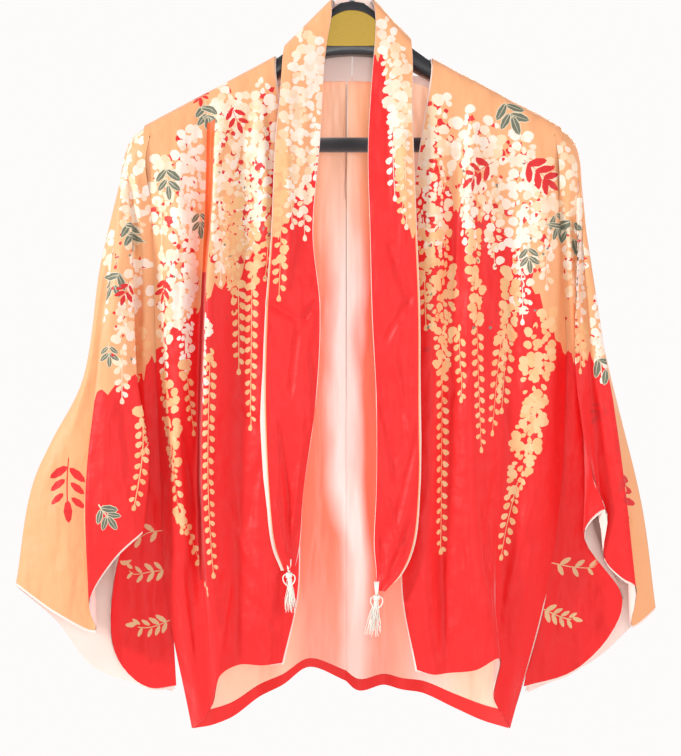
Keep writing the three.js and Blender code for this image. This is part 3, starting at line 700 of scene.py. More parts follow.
SHOULDER_LEVEL, NAPE_LEVEL, BACK_HEM_LEVEL = 6, 10, 15
SEAM_HALF_GAP = 0.2
LEAST_STEP = 4  # room that a fold line keeps from the one before it


def body_line(front, back):
    levels = [(x, y, z) for (x, y), z in zip(front[1:5], FRONT_Z)][::-1]
    blades = [(x, y, z) for (x, y), z in zip(back[1:5], BACK_Z)]
    return [front[5], *levels, *over_arm(front[0]), back[0], *blades, back[5]]


def centre_seam(side):
    """Keeps the back's inner edge on the centre seam."""

    def keep(p, us):
        limit = CENTRE_X + side * SEAM_HALF_GAP + side * LEAST_STEP * us
        p = p.copy()
        p[..., 0] = np.minimum(p[..., 0], limit) if side < 0 else np.maximum(p[..., 0], limit)
        return p

    return keep


# Creases: facing (-1 front, 1 back), start and end (x, z), width, depth.
BODY_CREASES = {
    "left": [
        (-1, (-118, -300), (-75, -345), 4, 2.2), (-1, (-128, -470), (-80, -505), 4, 2.4),
        (-1, (-130, -560), (-95, -640), 4, -2.2), (-1, (-165, -300), (-175, -420), 4, 2.0),
        (-1, (-100, -620), (-85, -725), 4, 2.4), (-1, (-120, -640), (-132, -735), 3.5, -2.2),
        (-1, (-178, -230), (-160, -330), 5, -2.0), (-1, (-95, -170), (-120, -260), 5, 2.0),
        (-1, (-165, -620), (-150, -760), 4, 2.4), (-1, (-88, -190), (-84, -330), 4, -1.6),
        (-1, (-178, -480), (-160, -640), 4.5, -2.4), (-1, (-168, -480), (-150, -600), 4, 2.2),
        (-1, (-90, -520), (-104, -600), 4, 2.0), (-1, (-142, -175), (-141, -340), 3.5, 2.6),
        (-1, (-196, -300), (-186, -470), 4.5, 2.2), (-1, (-104, -660), (-70, -700), 4, 2.4),
        (1, (-40, -200), (-70, -330), 8, 2.0), (1, (-100, -420), (-60, -560), 8, 2.0),
        (1, (-140, -300), (-150, -520), 7, -2.0), (1, (-30, -600), (-50, -720), 6, 1.8),
    ],
    "right": [
        (-1, (100, -320), (80, -420), 4, 2.2), (-1, (118, -430), (90, -480), 4.5, 2.2),
        (-1, (150, -350), (165, -470), 4.5, 2.4), (-1, (175, -200), (168, -330), 5, -2.0),
        (-1, (96, -200), (92, -300), 4, 2.0), (-1, (185, -470), (150, -600), 4.5, 2.4),
        (-1, (178, -560), (150, -680), 4, -2.2), (-1, (105, -600), (120, -720), 4, 2.2),
        (-1, (140, -540), (133, -650), 3.5, 2.2), (-1, (120, -170), (116, -300), 4, -1.8),
        (-1, (129, -202), (114, -310), 3.5, 2.6), (-1, (128, -549), (146, -720), 4, 2.4),
        (-1, (206, -216), (212, -400), 4, 2.2), (-1, (88, -606), (90, -716), 3.5, 2.4),
        (1, (40, -200), (75, -330), 8, 2.0), (1, (100, -420), (70, -560), 8, 2.0),
        (1, (150, -300), (158, -520), 7, -2.0), (1, (30, -600), (50, -720), 6, 1.8),
    ],
}
# Where apricot gives way to red, as (x, z) on the front and on the back.
FRONT_EDGE = {
    "left": [(-200, -430), (-188, -410), (-165, -392), (-146, -372), (-132, -358), (-112, -350),
             (-98, -322), (-84, -262), (-70, -215), (-50, -200)],
    "right": [(50, -215), (66, -225), (84, -245), (100, -275), (116, -300), (132, -285),
              (150, -300), (168, -330), (190, -385), (214, -430)],
}
BACK_EDGE = {
    "left": [(-200, -400), (-170, -350), (-130, -390), (-95, -330), (-60, -370), (-25, -320),
             (0, -345)],
    "right": [(-10, -345), (20, -320), (55, -365), (90, -335), (125, -385), (165, -350),
              (212, -400)],
}
# Blossoms: top (x, z), tip (x, z), width, tones, share that is thin stem, red between florets.
FRONT_BLOSSOM = {
    "left": [
        ((-88, -148), (-92, -300), 24, WHITE, 0.05, 0.8), ((-106, -160), (-104, -330), 34, CREAM, 0.05, 0.7),
        ((-100, -300), (-101, -498), 15, APRICOT, 0.72, 0.1),
        ((-126, -176), (-128, -352), 30, CREAM, 0.05, 0.3),
        ((-118, -270), (-117, -372), 22, APRICOT, 0.15, 0.2), ((-139, -420), (-136, -642), 12, APRICOT, 0.97),
        ((-132, -145), (-134, -230), 20, CREAM, 0.1, 0.5), ((-160, -196), (-158, -330), 34, WHITE, 0.05, 0.4),
        ((-166, -280), (-163, -440), 34, WHITE, 0.1, 0.3), ((-164, -430), (-156, -505), 16, APRICOT, 0.8),
        ((-184, -320), (-188, -450), 20, CREAM, 0.2, 0.6), ((-186, -440), (-168, -600), 24, APRICOT, 0.35),
        ((-172, -575), (-146, -660), 14, APRICOT, 0.85), ((-150, -380), (-150, -470), 16, WHITE, 0.3, 0.2),
        ((-187, -225), (-190, -320), 22, CREAM, 0.1, 0.5), ((-80, -255), (-86, -350), 14, APRICOT, 0.4, 0.5),
        ((-112, -350), (-112, -440), 12, APRICOT, 0.9),
    ],
    "right": [
        ((90, -165), (88, -320), 30, CREAM, 0.05, 0.9), ((88, -300), (90, -450), 34, APRICOT, 0.12, 0.2),
        ((90, -430), (88, -618), 13, APRICOT, 0.95), ((114, -178), (116, -330), 26, WHITE, 0.05, 0.7),
        ((122, -300), (128, -520), 18, APRICOT, 0.55, 0.1), ((138, -190), (142, -340), 28, CREAM, 0.05, 0.4),
        ((168, -205), (168, -390), 36, WHITE, 0.05, 0.3), ((158, -330), (148, -480), 22, APRICOT, 0.4, 0.3),
        ((190, -380), (176, -500), 34, APRICOT, 0.02), ((190, -230), (192, -360), 24, CREAM, 0.1, 0.4),
        ((182, -470), (148, -625), 30, APRICOT, 0.35), ((72, -200), (72, -320), 20, CREAM, 0.1, 1.0),
        ((70, -300), (72, -400), 14, APRICOT, 0.5), ((150, -400), (140, -500), 14, APRICOT, 0.9),
        ((104, -400), (106, -470), 12, APRICOT, 0.9),
    ],
}
# Leaves: base (x, z), angle, pairs, length of a leaf; False marks plain red ones.
BODY_LEAVES = {
    "left": [
        ((-146, -172), 0.2, 2, 17), ((-150, -282), 0.1, 2, 14), ((-184, -236), 0.1, 2, 17),
        ((-120, -178), 0.4, 2, 14, False), ((-184, -350), -0.3, 2, 14, False),
        ((-158, -150), 0.0, 2, 12, False),
    ],
    "right": [
        ((150, -170), 0.4, 2, 20), ((168, -232), 0.9, 3, 20, False),
        ((140, -236), -1.0, 3, 17, False), ((172, -318), 0.1, 2, 14), ((200, -280), 0.4, 2, 17),
    ],
}
# The deep fold of the left front: between which fold lines, where, and its painted shade from z to z, an
# orange and a dark red strip that stand for the shade inside the fold.
DEEP_FOLD, DEEP_FOLD_X = (3.35, 4.05), -143
DEEP_FOLD_PAINTED_SHADE = [(-345, -195, (250, 108, 44)), (-650, -345, (206, 24, 27))]


def back_blossom(side):
    """The back's hanging blossoms: even rows of the same kinds, of random length, starting lower towards the
    side.
    """
    rows = []
    for k, distance in enumerate(range(18, 190, 24)):
        x = side * distance - 4
        top = -165 - 0.25 * distance - random.uniform(0, 30)
        reach = 120 + random.uniform(0, 110)
        rows.append(((x, top), (x, top - reach), 32, (CREAM, WHITE)[k % 2], 0.1, 0.5))
        low = top - reach + 20
        rows.append(((x, low), (x - 4, low - random.uniform(80, 190)), 18, APRICOT, 0.55))
    return rows


def chips(sheet, count, xs, zs, facing=-1):
    """Small red and grey flecks between the petals."""
    for _ in range(count):
        spot = sheet.cloth.find(random.uniform(*xs), random.uniform(*zs), facing)
        tone = random.choice([CHIP_RED, CHIP_RED, CHIP_RED, LINE_GREY])
        angle, long, wide = (random.uniform(*ends) for ends in [(0, 6.2), (2.5, 5.5), (1.2, 3)])
        sheet.petal(spot, angle, long, wide, colour(*tone), 0.8)


def red_below(sheet, height, levels, bottom, us=(0, 1)):
    """Dyes the cloth red from a scalloped edge down to the given flat end."""
    cloth = sheet.cloth
    edge = [p for p in edge_points(cloth, height, levels)
            if us[0] * cloth.width <= p[0] <= us[1] * cloth.width]
    wavy = [(a, b + 5 * math.sin(a * 0.45) + 3 * math.sin(a * 1.1 + 2)) for a, b in edge]
    outline = [*wavy, (wavy[-1][0], bottom), (wavy[0][0], bottom)]
    sheet.shape(np.array(outline), colour(*RED))


bodies = {}
for side_name, side, fronts, backs in [
    ("left", -1, FRONT_LEFT, BACK_LEFT), ("right", 1, FRONT_RIGHT, BACK_RIGHT),
]:
    random.seed(11 + side)
    panel = Cloth([body_line(f, b) for f, b in zip(fronts, backs)], side, keep=centre_seam(side),
                  creases=BODY_CREASES[side_name])
    bodies[side_name] = panel
    sheet = Print(panel, colour(*GROUND))
    red_below(sheet, height_between(FRONT_EDGE[side_name]), (0, SHOULDER_LEVEL), 0)
    red_below(sheet, height_between(BACK_EDGE[side_name]), (NAPE_LEVEL, BACK_HEM_LEVEL),
              panel.length)
    for row in FRONT_BLOSSOM[side_name]:
        raceme(sheet, *row[:4], -1, *row[4:])
    for row in back_blossom(side):
        raceme(sheet, *row[:4], 1, *row[4:])
    chip_xs = sorted((side * 70, side * 195))
    chips(sheet, 70, chip_xs, (-400, -230))
    chips(sheet, 60, chip_xs, (-380, -230), 1)
    for row in BODY_LEAVES[side_name]:
        leaves(sheet, *row)
    # Painted shade: an orange and a dark red strip along the deep left fold stand for the shade inside it;
    # the silk has no such strip.
    if side_name == "left":
        inner, outer = (panel.line_place(u) for u in DEEP_FOLD)
        for low_z, high_z, tone in DEEP_FOLD_PAINTED_SHADE:
            low, high = (panel.find(DEEP_FOLD_X, z)[1] for z in (low_z, high_z))
            corners = [(inner, low), (outer, low), (outer, high), (inner, high)]
            sheet.shape(np.array(corners), colour(*tone))
    piece = cut_cloth(f"silk_body_{side_name}", panel, sheet, silk, lining_silk, 1.0)
    fit(piece, f"body_{side_name}", (panel.width, panel.length))


# ---- Back lining, hem band and front facing ----
# The back is lined with plain white silk that was dyed in soft coral bands. The hem is turned
# up as a narrow red band, and a pale facing edges the opening and the neck.
def lining_piece(name, cloth, a_range, b_range, near, far, finish, over=None, step=(4, 8)):
    """A thin shell under the cloth, from near to far mm inside it. over gives tables (b, mm)
    for how far each side's edge stands out past a_range."""
    columns = max(int((a_range[1] - a_range[0]) / step[0]), 2)
    rows = max(int((b_range[1] - b_range[0]) / step[1]), 2)
    share, b = np.meshgrid(np.linspace(0, 1, columns + 1), np.linspace(*b_range, rows + 1))
    first, last = [np.interp(b, *zip(*table)) for table in over] if over else (0, 0)
    a = (a_range[0] - first) * (1 - share) + (a_range[1] + last) * share
    flat = np.stack([a.ravel(), b.ravel()], axis=1)
    number = np.arange(flat.shape[0]).reshape(share.shape)
    corner, right = number[:-1, :-1].ravel(), number[:-1, 1:].ravel()
    below, across = number[1:, :-1].ravel(), number[1:, 1:].ravel()
    triangles = np.concatenate([np.stack([corner, right, across], 1),
                                np.stack([corner, across, below], 1)])
    if cloth.outward < 0:
        triangles = triangles[:, ::-1]
    held = np.clip(flat, 0, [cloth.width, cloth.length])
    place, normals = cloth.beyond(flat), unit(cloth.at(held, cloth.n))
    return shell(name, place - normals * near, place - normals * far, normals, triangles, flat,
                 (finish,))


# The faint emission is a painted glow: it stands for light that comes through the thin silk.
glowing_band_lining = Finish("banded_glowing_lining", Roughness=0.4, Specular_IOR_Level=0.45,
                     Sheen_Weight=0.15, Emission_Strength=0.24)
dyed_place = glowing_band_lining.node("ShaderNodeTexCoord", output=3)
dyed_axes = glowing_band_lining.node("ShaderNodeSeparateXYZ", {}, {"Vector": dyed_place})
dyed_height = Value(glowing_band_lining, dyed_axes.socket.node.outputs[2])
dyed_wander = glowing_band_lining.noise(glowing_band_lining.place((1, 1, 0.35)), 11, 3)
dyed_across = (dyed_axes + 0.2) * 2.5 + (dyed_wander - 0.5) * 0.16
PALE, PEACH, CORAL = colour(255, 250, 246), colour(255, 214, 178), colour(252, 122, 98)
dyed_bands = glowing_band_lining.node("ShaderNodeValToRGB", {"stops": [
    (0.0, PALE), (1.0, PALE), (0.2, PEACH), (0.32, PEACH), (0.375, CORAL),
    (0.45, colour(253, 138, 112)), (0.488, PALE), (0.512, colour(255, 240, 234)),
    (0.545, CORAL), (0.61, colour(255, 160, 136)),
    (0.67, PALE), (0.8, PEACH),
]}, {"Fac": dyed_across})
lining_dye_and_glow = dyed_bands
for start_z, end_z, amount, tone in [
    (-0.36, -0.2, 0.8, colour(254, 186, 140)), (-0.60, -0.72, 0.6, colour(252, 166, 146)),
]:
    reached = glowing_band_lining.node("ShaderNodeMapRange", {}, {
        "Value": dyed_height + (dyed_wander - 0.5) * 0.1, "From Min": start_z, "From Max": end_z,
    })
    lining_dye_and_glow = glowing_band_lining.mix(reached * amount, lining_dye_and_glow, tone)
glowing_band_lining.use("Base Color", lining_dye_and_glow)
# Painted glow: the lining gives off its own dyed colour as light.
glowing_band_lining.use("Emission Color", lining_dye_and_glow)
lining_drape = glowing_band_lining.noise(glowing_band_lining.place((1, 1, 0.22)), 26, 3, 0.5)
glowing_band_lining.bump(lining_drape, 0.8, 0.012)

band_silk = Finish("hem_band_silk", Roughness=0.5, Specular_IOR_Level=0.35, Sheen_Weight=0.2)
band_cloud = band_silk.noise(band_silk.place(), 60, 3)
band_silk.use("Base Color", band_silk.mix(band_cloud, colour(*RED), colour(226, 40, 34)))
band_silk.bump(band_silk.noise(band_silk.place(), 900, 3), 0.1, 0.0005)

HEM_BAND = 12
FACING_LINES = 0.6  # how many fold lines the facing reaches across
FACING_LIP = 1.8  # mean width of what stands out past the cloth's edge
for side_name, panel in bodies.items():
    nape = panel.level_place(NAPE_LEVEL) - 8
    hem = panel.length - HEM_BAND
    back = lining_piece(f"silk_back_lining_{side_name}", panel, (0.3, panel.width - 3),
                        (nape, hem - 0.4), 1.5, 2.1, glowing_band_lining)
    fit(back, f"back_lining_{side_name}", (panel.spread(nape, hem), hem - nape))
    band = lining_piece(f"silk_hem_band_{side_name}", panel, (0.3, panel.width - 1),
                        (hem, panel.length + 0.6), 1.3, 2.2, band_silk, step=(3, 3))
    fit(band, f"hem_band_{side_name}",
        (panel.spread(hem, panel.length), HEM_BAND))
    reach = panel.line_place(FACING_LINES)
    facing_end = panel.level_place(NAPE_LEVEL) - 10
    lip = [(0, 2.5), (60, 1.5), (facing_end - 120, 1.6), (facing_end, 1.0)]
    facing = lining_piece(f"silk_facing_{side_name}", panel, (0, reach), (-1.0, facing_end), 1.3,
                          2.0, lining_silk, over=(lip, [(0, 0), (1, 0)]))
    strip = reach / panel.width * panel.spread(0, facing_end) + FACING_LIP
    fit(facing, f"facing_{side_name}", (strip, facing_end))


# ---- Sleeves ----
# Wide sleeves of the same silk, set in along the armhole. The outer half folds forward as a
# flap over the long drop, and the white lining edges the open mouth.
ARMHOLE_X = 200
SLEEVE_LEFT = [
    [(-195, -18, -300), (-190, -14, -430), (-184, 0, -600), (-176, 4, -756)],
    [(-208, -28, -300), (-206, -18, -430), (-204, 0, -600), (-203, 3, -758)],
    [(-212, -26, -300), (-212, -14, -430), (-217, 0, -605), (-227, 4, -741)],
    [(-215, -23, -300), (-217, -12, -432), (-226, -4, -590), (-240, -2, -708)],
    [(-217, -23, -302), (-219, -16, -436), (-226, -16, -560), (-226, -18, -612)],
    [(-218, -31, -304), (-212, -36, -440), (-199, -38, -525), (-204, -36, -597)],
    [(-226, -33, -308), (-230, -40, -444), (-229, -44, -540), (-232, -42, -623)],
    [(-234, -32, -312), (-251, -36, -448), (-262, -40, -560), (-259, -40, -668)],
    [(-237, -24, -314), (-252, -21, -450), (-259, -22, -570), (-254, -26, -697)],
    [(-244, -19, -318), (-263, -20, -446), (-292, -20, -556), (-294, -22, -679)],
    [(-250, -3, -330), (-269, 0, -450), (-318, 0, -550), (-336, 0, -653)],
    [(-246, 14, -322), (-266, 20, -450), (-296, 20, -560), (-298, 18, -690)],
    [(-228, 24, -312), (-238, 26, -444), (-246, 22, -590), (-258, 18, -738)],
    [(-196, 19, -300), (-191, 14, -430), (-184, 9, -600), (-178, 8, -760)],
]
SLEEVE_RIGHT = [
    [(205, -18, -300), (207, -14, -430), (199, 0, -600), (172, 4, -757)],
    [(215, -28, -302), (221, -18, -432), (226, 0, -605), (222, 3, -741)],
    [(219, -25, -304), (226, -14, -434), (240, 0, -610), (260, 4, -703)],
    [(221, -23, -306), (229, -12, -436), (238, -4, -590), (270, -1, -668)],
    [(222, -23, -308), (229, -16, -438), (231, -16, -550), (229, -20, -601)],
    [(223, -31, -310), (220, -36, -444), (236, -38, -540), (249, -36, -577)],
    [(228, -25, -312), (235, -26, -444), (244, -26, -560), (250, -23, -627)],
    [(229, -28, -314), (242, -30, -446), (256, -33, -565), (266, -30, -645)],
    [(232, -28, -318), (253, -30, -450), (270, -34, -570), (280, -30, -654)],
    [(233, -21, -320), (254, -18, -450), (272, -17, -575), (278, -15, -694)],
    [(233, -4, -330), (259, 0, -448), (290, 0, -575), (304, 0, -677)],
    [(231, 14, -322), (256, 20, -450), (278, 20, -575), (284, 18, -694)],
    [(222, 25, -312), (236, 26, -444), (246, 22, -590), (246, 18, -728)],
    [(205, 19, -300), (208, 14, -430), (200, 9, -600), (174, 8, -762)],
]
FLAP_RIDGE = {"left": 7.1, "right": 8.1}  # the fold line where red gives way to apricot
BACK_RIDGE = 11.6
LINED_FROM = 3.5  # the level where the mouth's lining begins
# The shoulder's round past the arm's end: how far out, its middle from front to back, half its
# depth, its height and its rise over that.
ARM_END_X, ARM_END_OUT, ARM_END_Y, ARM_END_HALF, ARM_END_Z, ARM_END_RISE = 204, 18, -9, 21.5, -236, 22
SLEEVE_RED = {
    "left": [(-262, -468), (-245, -462), (-225, -455), (-205, -440), (-190, -420)],
    "right": [(190, -430), (215, -425), (240, -430), (262, -440)],
}
SLEEVE_LEAVES = {
    "left": [
        ((-221, -290), 0.3, 2, 17), ((-228, -340), -0.4, 2, 17), ((-240, -412), 0.1, 2, 12),
        ((-282, -528), 0.1, 3, 22, False), ((-250, -572), 0.6, 2, 16),
        ((-219, -352), -0.3, 2, 13, False),
    ],
    "right": [
        ((216, -285), 0.2, 2, 17), ((238, -425), 0.6, 2, 17), ((274, -535), 0.3, 3, 22, False),
        ((250, -470), -0.8, 2, 14, False),
    ],
}
SLEEVE_SPRIGS = {
    "left": [((-184, -598), -1.35), ((-183, -640), -1.45), ((-181, -690), -1.25)],
    "right": [((194, -630), 1.35), ((190, -680), 1.3)],
}
SLEEVE_CHIPS = {"left": (-240, -205), "right": (205, 240)}
SPRIG_PALE = (238, 206, 160)
SLEEVE_CREASES = {
    "left": [
        (-1, (-212, -235), (-250, -390), 6, 2.2), (-1, (-222, -225), (-236, -420), 6, -2.0),
        (-1, (-205, -240), (-214, -420), 5, 1.8), (-1, (-225, -470), (-215, -560), 5, 1.8),
        (-1, (-240, -470), (-246, -620), 6, -1.8), (-1, (-262, -470), (-305, -580), 8, 2.0),
        (-1, (-270, -430), (-318, -600), 8, -2.0), (-1, (-275, -520), (-300, -660), 6, 1.8),
        (-1, (-200, -560), (-195, -720), 5, 1.6), (-1, (-214, -640), (-206, -740), 5, -1.4),
        (1, (-215, -235), (-240, -420), 8, 2.4), (1, (-230, -420), (-270, -640), 9, -2.4),
        (1, (-210, -420), (-205, -680), 8, 2.2), (1, (-255, -500), (-300, -650), 7, 2.0),
    ],
    "right": [
        (-1, (210, -240), (232, -400), 5, 2.0), (-1, (218, -230), (246, -440), 5, -1.8),
        (-1, (236, -450), (262, -600), 5, 1.8), (-1, (250, -430), (285, -620), 6, -1.8),
        (-1, (215, -600), (200, -720), 5, 1.6), (-1, (232, -640), (225, -730), 5, -1.4),
        (1, (215, -235), (238, -420), 8, 2.4), (1, (230, -420), (262, -640), 9, -2.4),
        (1, (215, -420), (205, -680), 8, 2.2), (1, (245, -500), (280, -650), 7, 2.0),
    ],
}
SLEEVE_BLOSSOM = {
    "left": [
        ((-206, -200), (-214, -330), 26, WHITE, 0.1), ((-220, -250), (-226, -400), 24, CREAM, 0.15),
        ((-210, -330), (-214, -430), 20, WHITE, 0.2), ((-206, -400), (-205, -520), 16, APRICOT, 0.6),
        ((-224, -380), (-226, -470), 16, CREAM, 0.4), ((-240, -300), (-246, -390), 14, WHITE, 0.3),
        ((-205, -470), (-214, -575), 14, APRICOT, 0.8),
    ],
    "right": [
        ((208, -215), (212, -330), 22, CREAM, 0.1), ((222, -270), (228, -390), 22, WHITE, 0.15),
        ((214, -330), (216, -430), 20, CREAM, 0.3), ((240, -370), (246, -450), 16, WHITE, 0.3),
        ((228, -390), (226, -440), 14, APRICOT, 0.5),
    ],
}


def sleeve_lines(rows, sign):
    """Each row runs from the armhole over the arm's end to the mouth."""
    lines = []
    for i, row in enumerate(rows):
        share = i / (len(rows) - 1)
        over = np.array(over_arm(ARMHOLE_X))[:, None, :]
        x, y, z = along(over, np.array([share * 4]))[0]
        angle = math.pi * share
        out = ARM_END_X + ARM_END_OUT * math.sin(angle) ** 0.6
        turn = (sign * out, ARM_END_Y - ARM_END_HALF * math.cos(angle),
                ARM_END_Z + ARM_END_RISE * math.sin(angle))
        lines.append([(sign * x, y, z - 1.4), turn, *row])
    return lines


for side_name, side, rows in [("left", -1, SLEEVE_LEFT), ("right", 1, SLEEVE_RIGHT)]:
    random.seed(31 + side)
    sleeve = Cloth(sleeve_lines(rows, side), -side, per_level=40, creases=SLEEVE_CREASES[side_name])
    sheet = Print(sleeve, colour(*GROUND))
    flap = sleeve.line_place(FLAP_RIDGE[side_name])
    red_below(sheet, height_between(SLEEVE_RED[side_name]), (1, 5), sleeve.length,
              (0, flap / sleeve.width))
    back_line = sleeve.line_place(BACK_RIDGE)
    red_below(sheet, lambda x: -430 - 0.6 * (abs(x) - 190), (1, 5), sleeve.length,
              (back_line / sleeve.width, 1))
    for row in SLEEVE_BLOSSOM[side_name]:
        raceme(sheet, *row[:4], -1, *row[4:])
    for k in range(4):
        x = side * (208 + 14 * k)
        raceme(sheet, (x, -250 - 30 * k), (x + side * 8, -420 - 30 * k), 24,
               (CREAM, WHITE)[k % 2], 1, 0.3)
        raceme(sheet, (x, -420 - 20 * k), (x + side * 8, -560 - 20 * k), 16, APRICOT, 1, 0.6)
    for row in SLEEVE_LEAVES[side_name]:
        leaves(sheet, *row)
    for base, angle in SLEEVE_SPRIGS[side_name]:
        sprig(sheet, base, angle, 4, 13, SPRIG_PALE)
    chips(sheet, 26, SLEEVE_CHIPS[side_name], (-430, -300))
    piece = cut_cloth(f"silk_sleeve_{side_name}", sleeve, sheet, silk, lining_silk, 0.9)
    fit(piece, f"sleeve_{side_name}", (sleeve.width, sleeve.length))
    start = sleeve.level_place(LINED_FROM)
    mouth = lining_piece(f"silk_sleeve_lining_{side_name}", sleeve, (1, sleeve.width - 1),
                         (start, sleeve.length + 2.6), 1.0, 1.6, lining_silk, step=(3, 6))
    fit(mouth, f"sleeve_lining_{side_name}",
        (sleeve.spread(start, sleeve.length), sleeve.length - start))


# ---- Scarf collar ----
# A long lined band, doubled over at the nape and free of the fronts below, so it hangs like a
# scarf. Each end is drawn together and crumples above its tassel.
COLLAR_LEFT = [  # inner edge, outer edge at each station from the nape to the tassel
    ((1, 13.6, -66), (0, 13.6, -149)), ((-13, 13.6, -67), (-36, 13.8, -147)),
    ((-18, 13.6, -70), (-58, 14.2, -130)), ((-19, 12, -71), (-64, 12.5, -118)),
    ((-20, 1, -68.5), (-66.5, 1, -115)), ((-20.5, -12.5, -73), (-68, -14, -121)),
    ((-21, -16.5, -88), (-69.5, -20, -138)), ((-27, -18, -130), (-71, -31, -170)),
    ((-32, -30, -214), (-75, -37, -214)), ((-39, -35, -305), (-79, -40, -305)),
    ((-32, -37, -380), (-84, -42, -380)), ((-36, -40, -470), (-86, -41, -470)),
    ((-48, -38, -560), (-82, -43, -560)), ((-52, -38, -612), (-76, -43, -612)),
    ((-57, -39, -637), (-67, -42, -637)),
]
COLLAR_RIGHT = [
    ((1, 13.6, -66), (0, 13.6, -149)), ((15, 13.6, -67), (32, 13.8, -147)),
    ((19, 13.6, -70), (52, 14.2, -126)), ((20, 12, -71), (56, 12.5, -112)),
    ((21, 1, -68.5), (58, 1, -108)), ((22, -12.5, -73), (59, -13.5, -114)),
    ((24, -16.5, -96), (60, -19, -134)), ((20, -18, -150), (59, -29, -172)),
    ((16, -30, -222), (60, -35, -222)), ((18, -35, -305), (63, -40, -305)),
    ((20, -38, -385), (66, -41, -385)), ((24, -38, -470), (66, -43, -470)),
    ((24, -40, -555), (66, -43, -555)), ((22, -38, -612), (60, -43, -612)),
    ((24, -38, -640), (48, -42, -640)), ((23, -39, -657), (33, -41, -657)),
]
HANGING_FROM = 8  # station from which the band hangs free
COLLAR_CROWN = 1.2  # how far its padded middle stands out
CRUMPLED_FROM = 11
COLLAR_CREASES = {
    "left": [
        (-1, (-84, -372), (-52, -392), 3.1, 2.7), (-1, (-50, -392), (-34, -372), 3.1, 2.5),
        (-1, (-52, -390), (-62, -470), 3.7, 2.5), (-1, (-60, -300), (-66, -372), 3.7, -2.1),
        (-1, (-45, -420), (-40, -500), 3.1, -2.1), (-1, (-72, -480), (-60, -590), 3.1, 2.3),
        (-1, (-50, -520), (-60, -610), 2.5, -2.5), (-1, (-76, -560), (-66, -630), 2.5, -2.1),
        (-1, (-40, -180), (-44, -330), 3.7, 1.5), (-1, (-64, -200), (-60, -330), 4.3, -1.5),
        (-1, (-64, -570), (-60, -630), 1.9, 2.3),
    ],
    "right": [
        (-1, (30, -300), (58, -380), 3.7, 2.3), (-1, (62, -360), (28, -420), 3.7, 2.3),
        (-1, (40, -420), (60, -520), 4.3, -2.1), (-1, (26, -460), (46, -560), 3.1, 2.3),
        (-1, (64, -500), (40, -600), 3.1, 2.5), (-1, (32, -560), (50, -625), 2.5, -2.7),
        (-1, (56, -590), (36, -640), 2.5, 2.5), (-1, (28, -600), (30, -650), 1.9, 2.1),
        (-1, (34, -180), (36, -300), 3.7, 1.5), (-1, (52, -200), (50, -330), 3.7, -1.5),
    ],
}
COLLAR_RED = {
    "left": [(-90, -330), (-78, -315), (-62, -290), (-45, -250), (-36, -220), (-30, -214)],
    "right": [(14, -118), (22, -124), (32, -134), (38, -180), (44, -250), (54, -300), (68, -312)],
}
COLLAR_BLOSSOM = {
    "left": [
        ((-52, -95), (-50, -210), 20, CREAM, 0.1), ((-36, -110), (-36, -250), 14, WHITE, 0.2),
        ((-60, -150), (-58, -300), 22, CREAM, 0.15), ((-70, -215), (-70, -330), 14, APRICOT, 0.4),
        ((-46, -220), (-46, -310), 16, CREAM, 0.3), ((-70, -320), (-72, -370), 10, APRICOT, 0.8),
    ],
    "right": [
        ((34, -85), (38, -190), 14, WHITE, 0.15), ((46, -115), (48, -240), 18, CREAM, 0.15),
        ((54, -160), (54, -300), 14, CREAM, 0.5), ((40, -170), (42, -270), 12, WHITE, 0.4),
        ((48, -220), (50, -295), 12, APRICOT, 0.6),
    ],
}
COLLAR_LIP = {  # how far the lining stands out past the outer edge, by flat length
    "left": [(0, 0.8), (330, 0.8), (420, 2.0), (470, 5.0), (530, 4.5), (560, 3.0), (640, 2.5)],
    "right": [(0, 0.8), (420, 0.8), (470, 1.5), (560, 1.2), (640, 1.2)],
}

for side_name, side, rows in [("left", -1, COLLAR_LEFT), ("right", 1, COLLAR_RIGHT)]:
    random.seed(51 + side)
    lines = []
    for share in np.linspace(0, 1, 9):
        line = []
        for i, (inner, outer) in enumerate(rows):
            point = np.array(inner) * (1 - share) + np.array(outer) * share
            if i == 0:
                point[0] += side * SEAM_HALF_GAP
            if i >= HANGING_FROM:
                point[1] -= COLLAR_CROWN * 4 * share * (1 - share)
                wave = math.sin(share * 9 + i * 1.9) * (0.5 if i < CRUMPLED_FROM else 1.3)
                point[1] += wave * min(1, 4 * share * (1 - share) + 0.3)
            line.append(tuple(point))
        lines.append(line)
    collar = Cloth(lines, -side, per_line=10, per_level=30, creases=COLLAR_CREASES[side_name])
    sheet = Print(collar, colour(*GROUND))
    red_below(sheet, height_between(COLLAR_RED[side_name]), (5, 14), collar.length)
    for row in COLLAR_BLOSSOM[side_name]:
        raceme(sheet, *row[:4], -1, *row[4:])
    piece = cut_cloth(f"silk_collar_{side_name}", collar, sheet, silk, lining_silk, 0.8, step=(2.2, 4))
    size = (collar.width, collar.length)
    fit(piece, f"collar_{side_name}", size)
    lining = lining_piece(f"silk_collar_lining_{side_name}", collar, (0, collar.width),
                          (0, collar.length), 1.5, 2.1, lining_silk,
                          over=([(0, 0.8), (700, 0.8)], COLLAR_LIP[side_name]), step=(2, 3))
    fit(lining, f"collar_lining_{side_name}", size)


# ---- Tassels ----
# A white silk cord leaves each gathered end and is tied in a knot, and its loose threads hang
# below in a frayed bunch.
def loft(rings):
    """Points and faces of a skin through rings with the same count, closed at both ends."""
    size = len(rings[0])
    points = [tuple(p) for ring in rings for p in ring]
    faces = [tuple(reversed(range(size)))]
    for r in range(len(rings) - 1):
        for k in range(size):
            a, b = r * size + k, r * size + (k + 1) % size
            faces.append((a, b, b + size, a + size))
    faces.append(tuple(range((len(rings) - 1) * size, len(rings) * size)))
    return points, faces


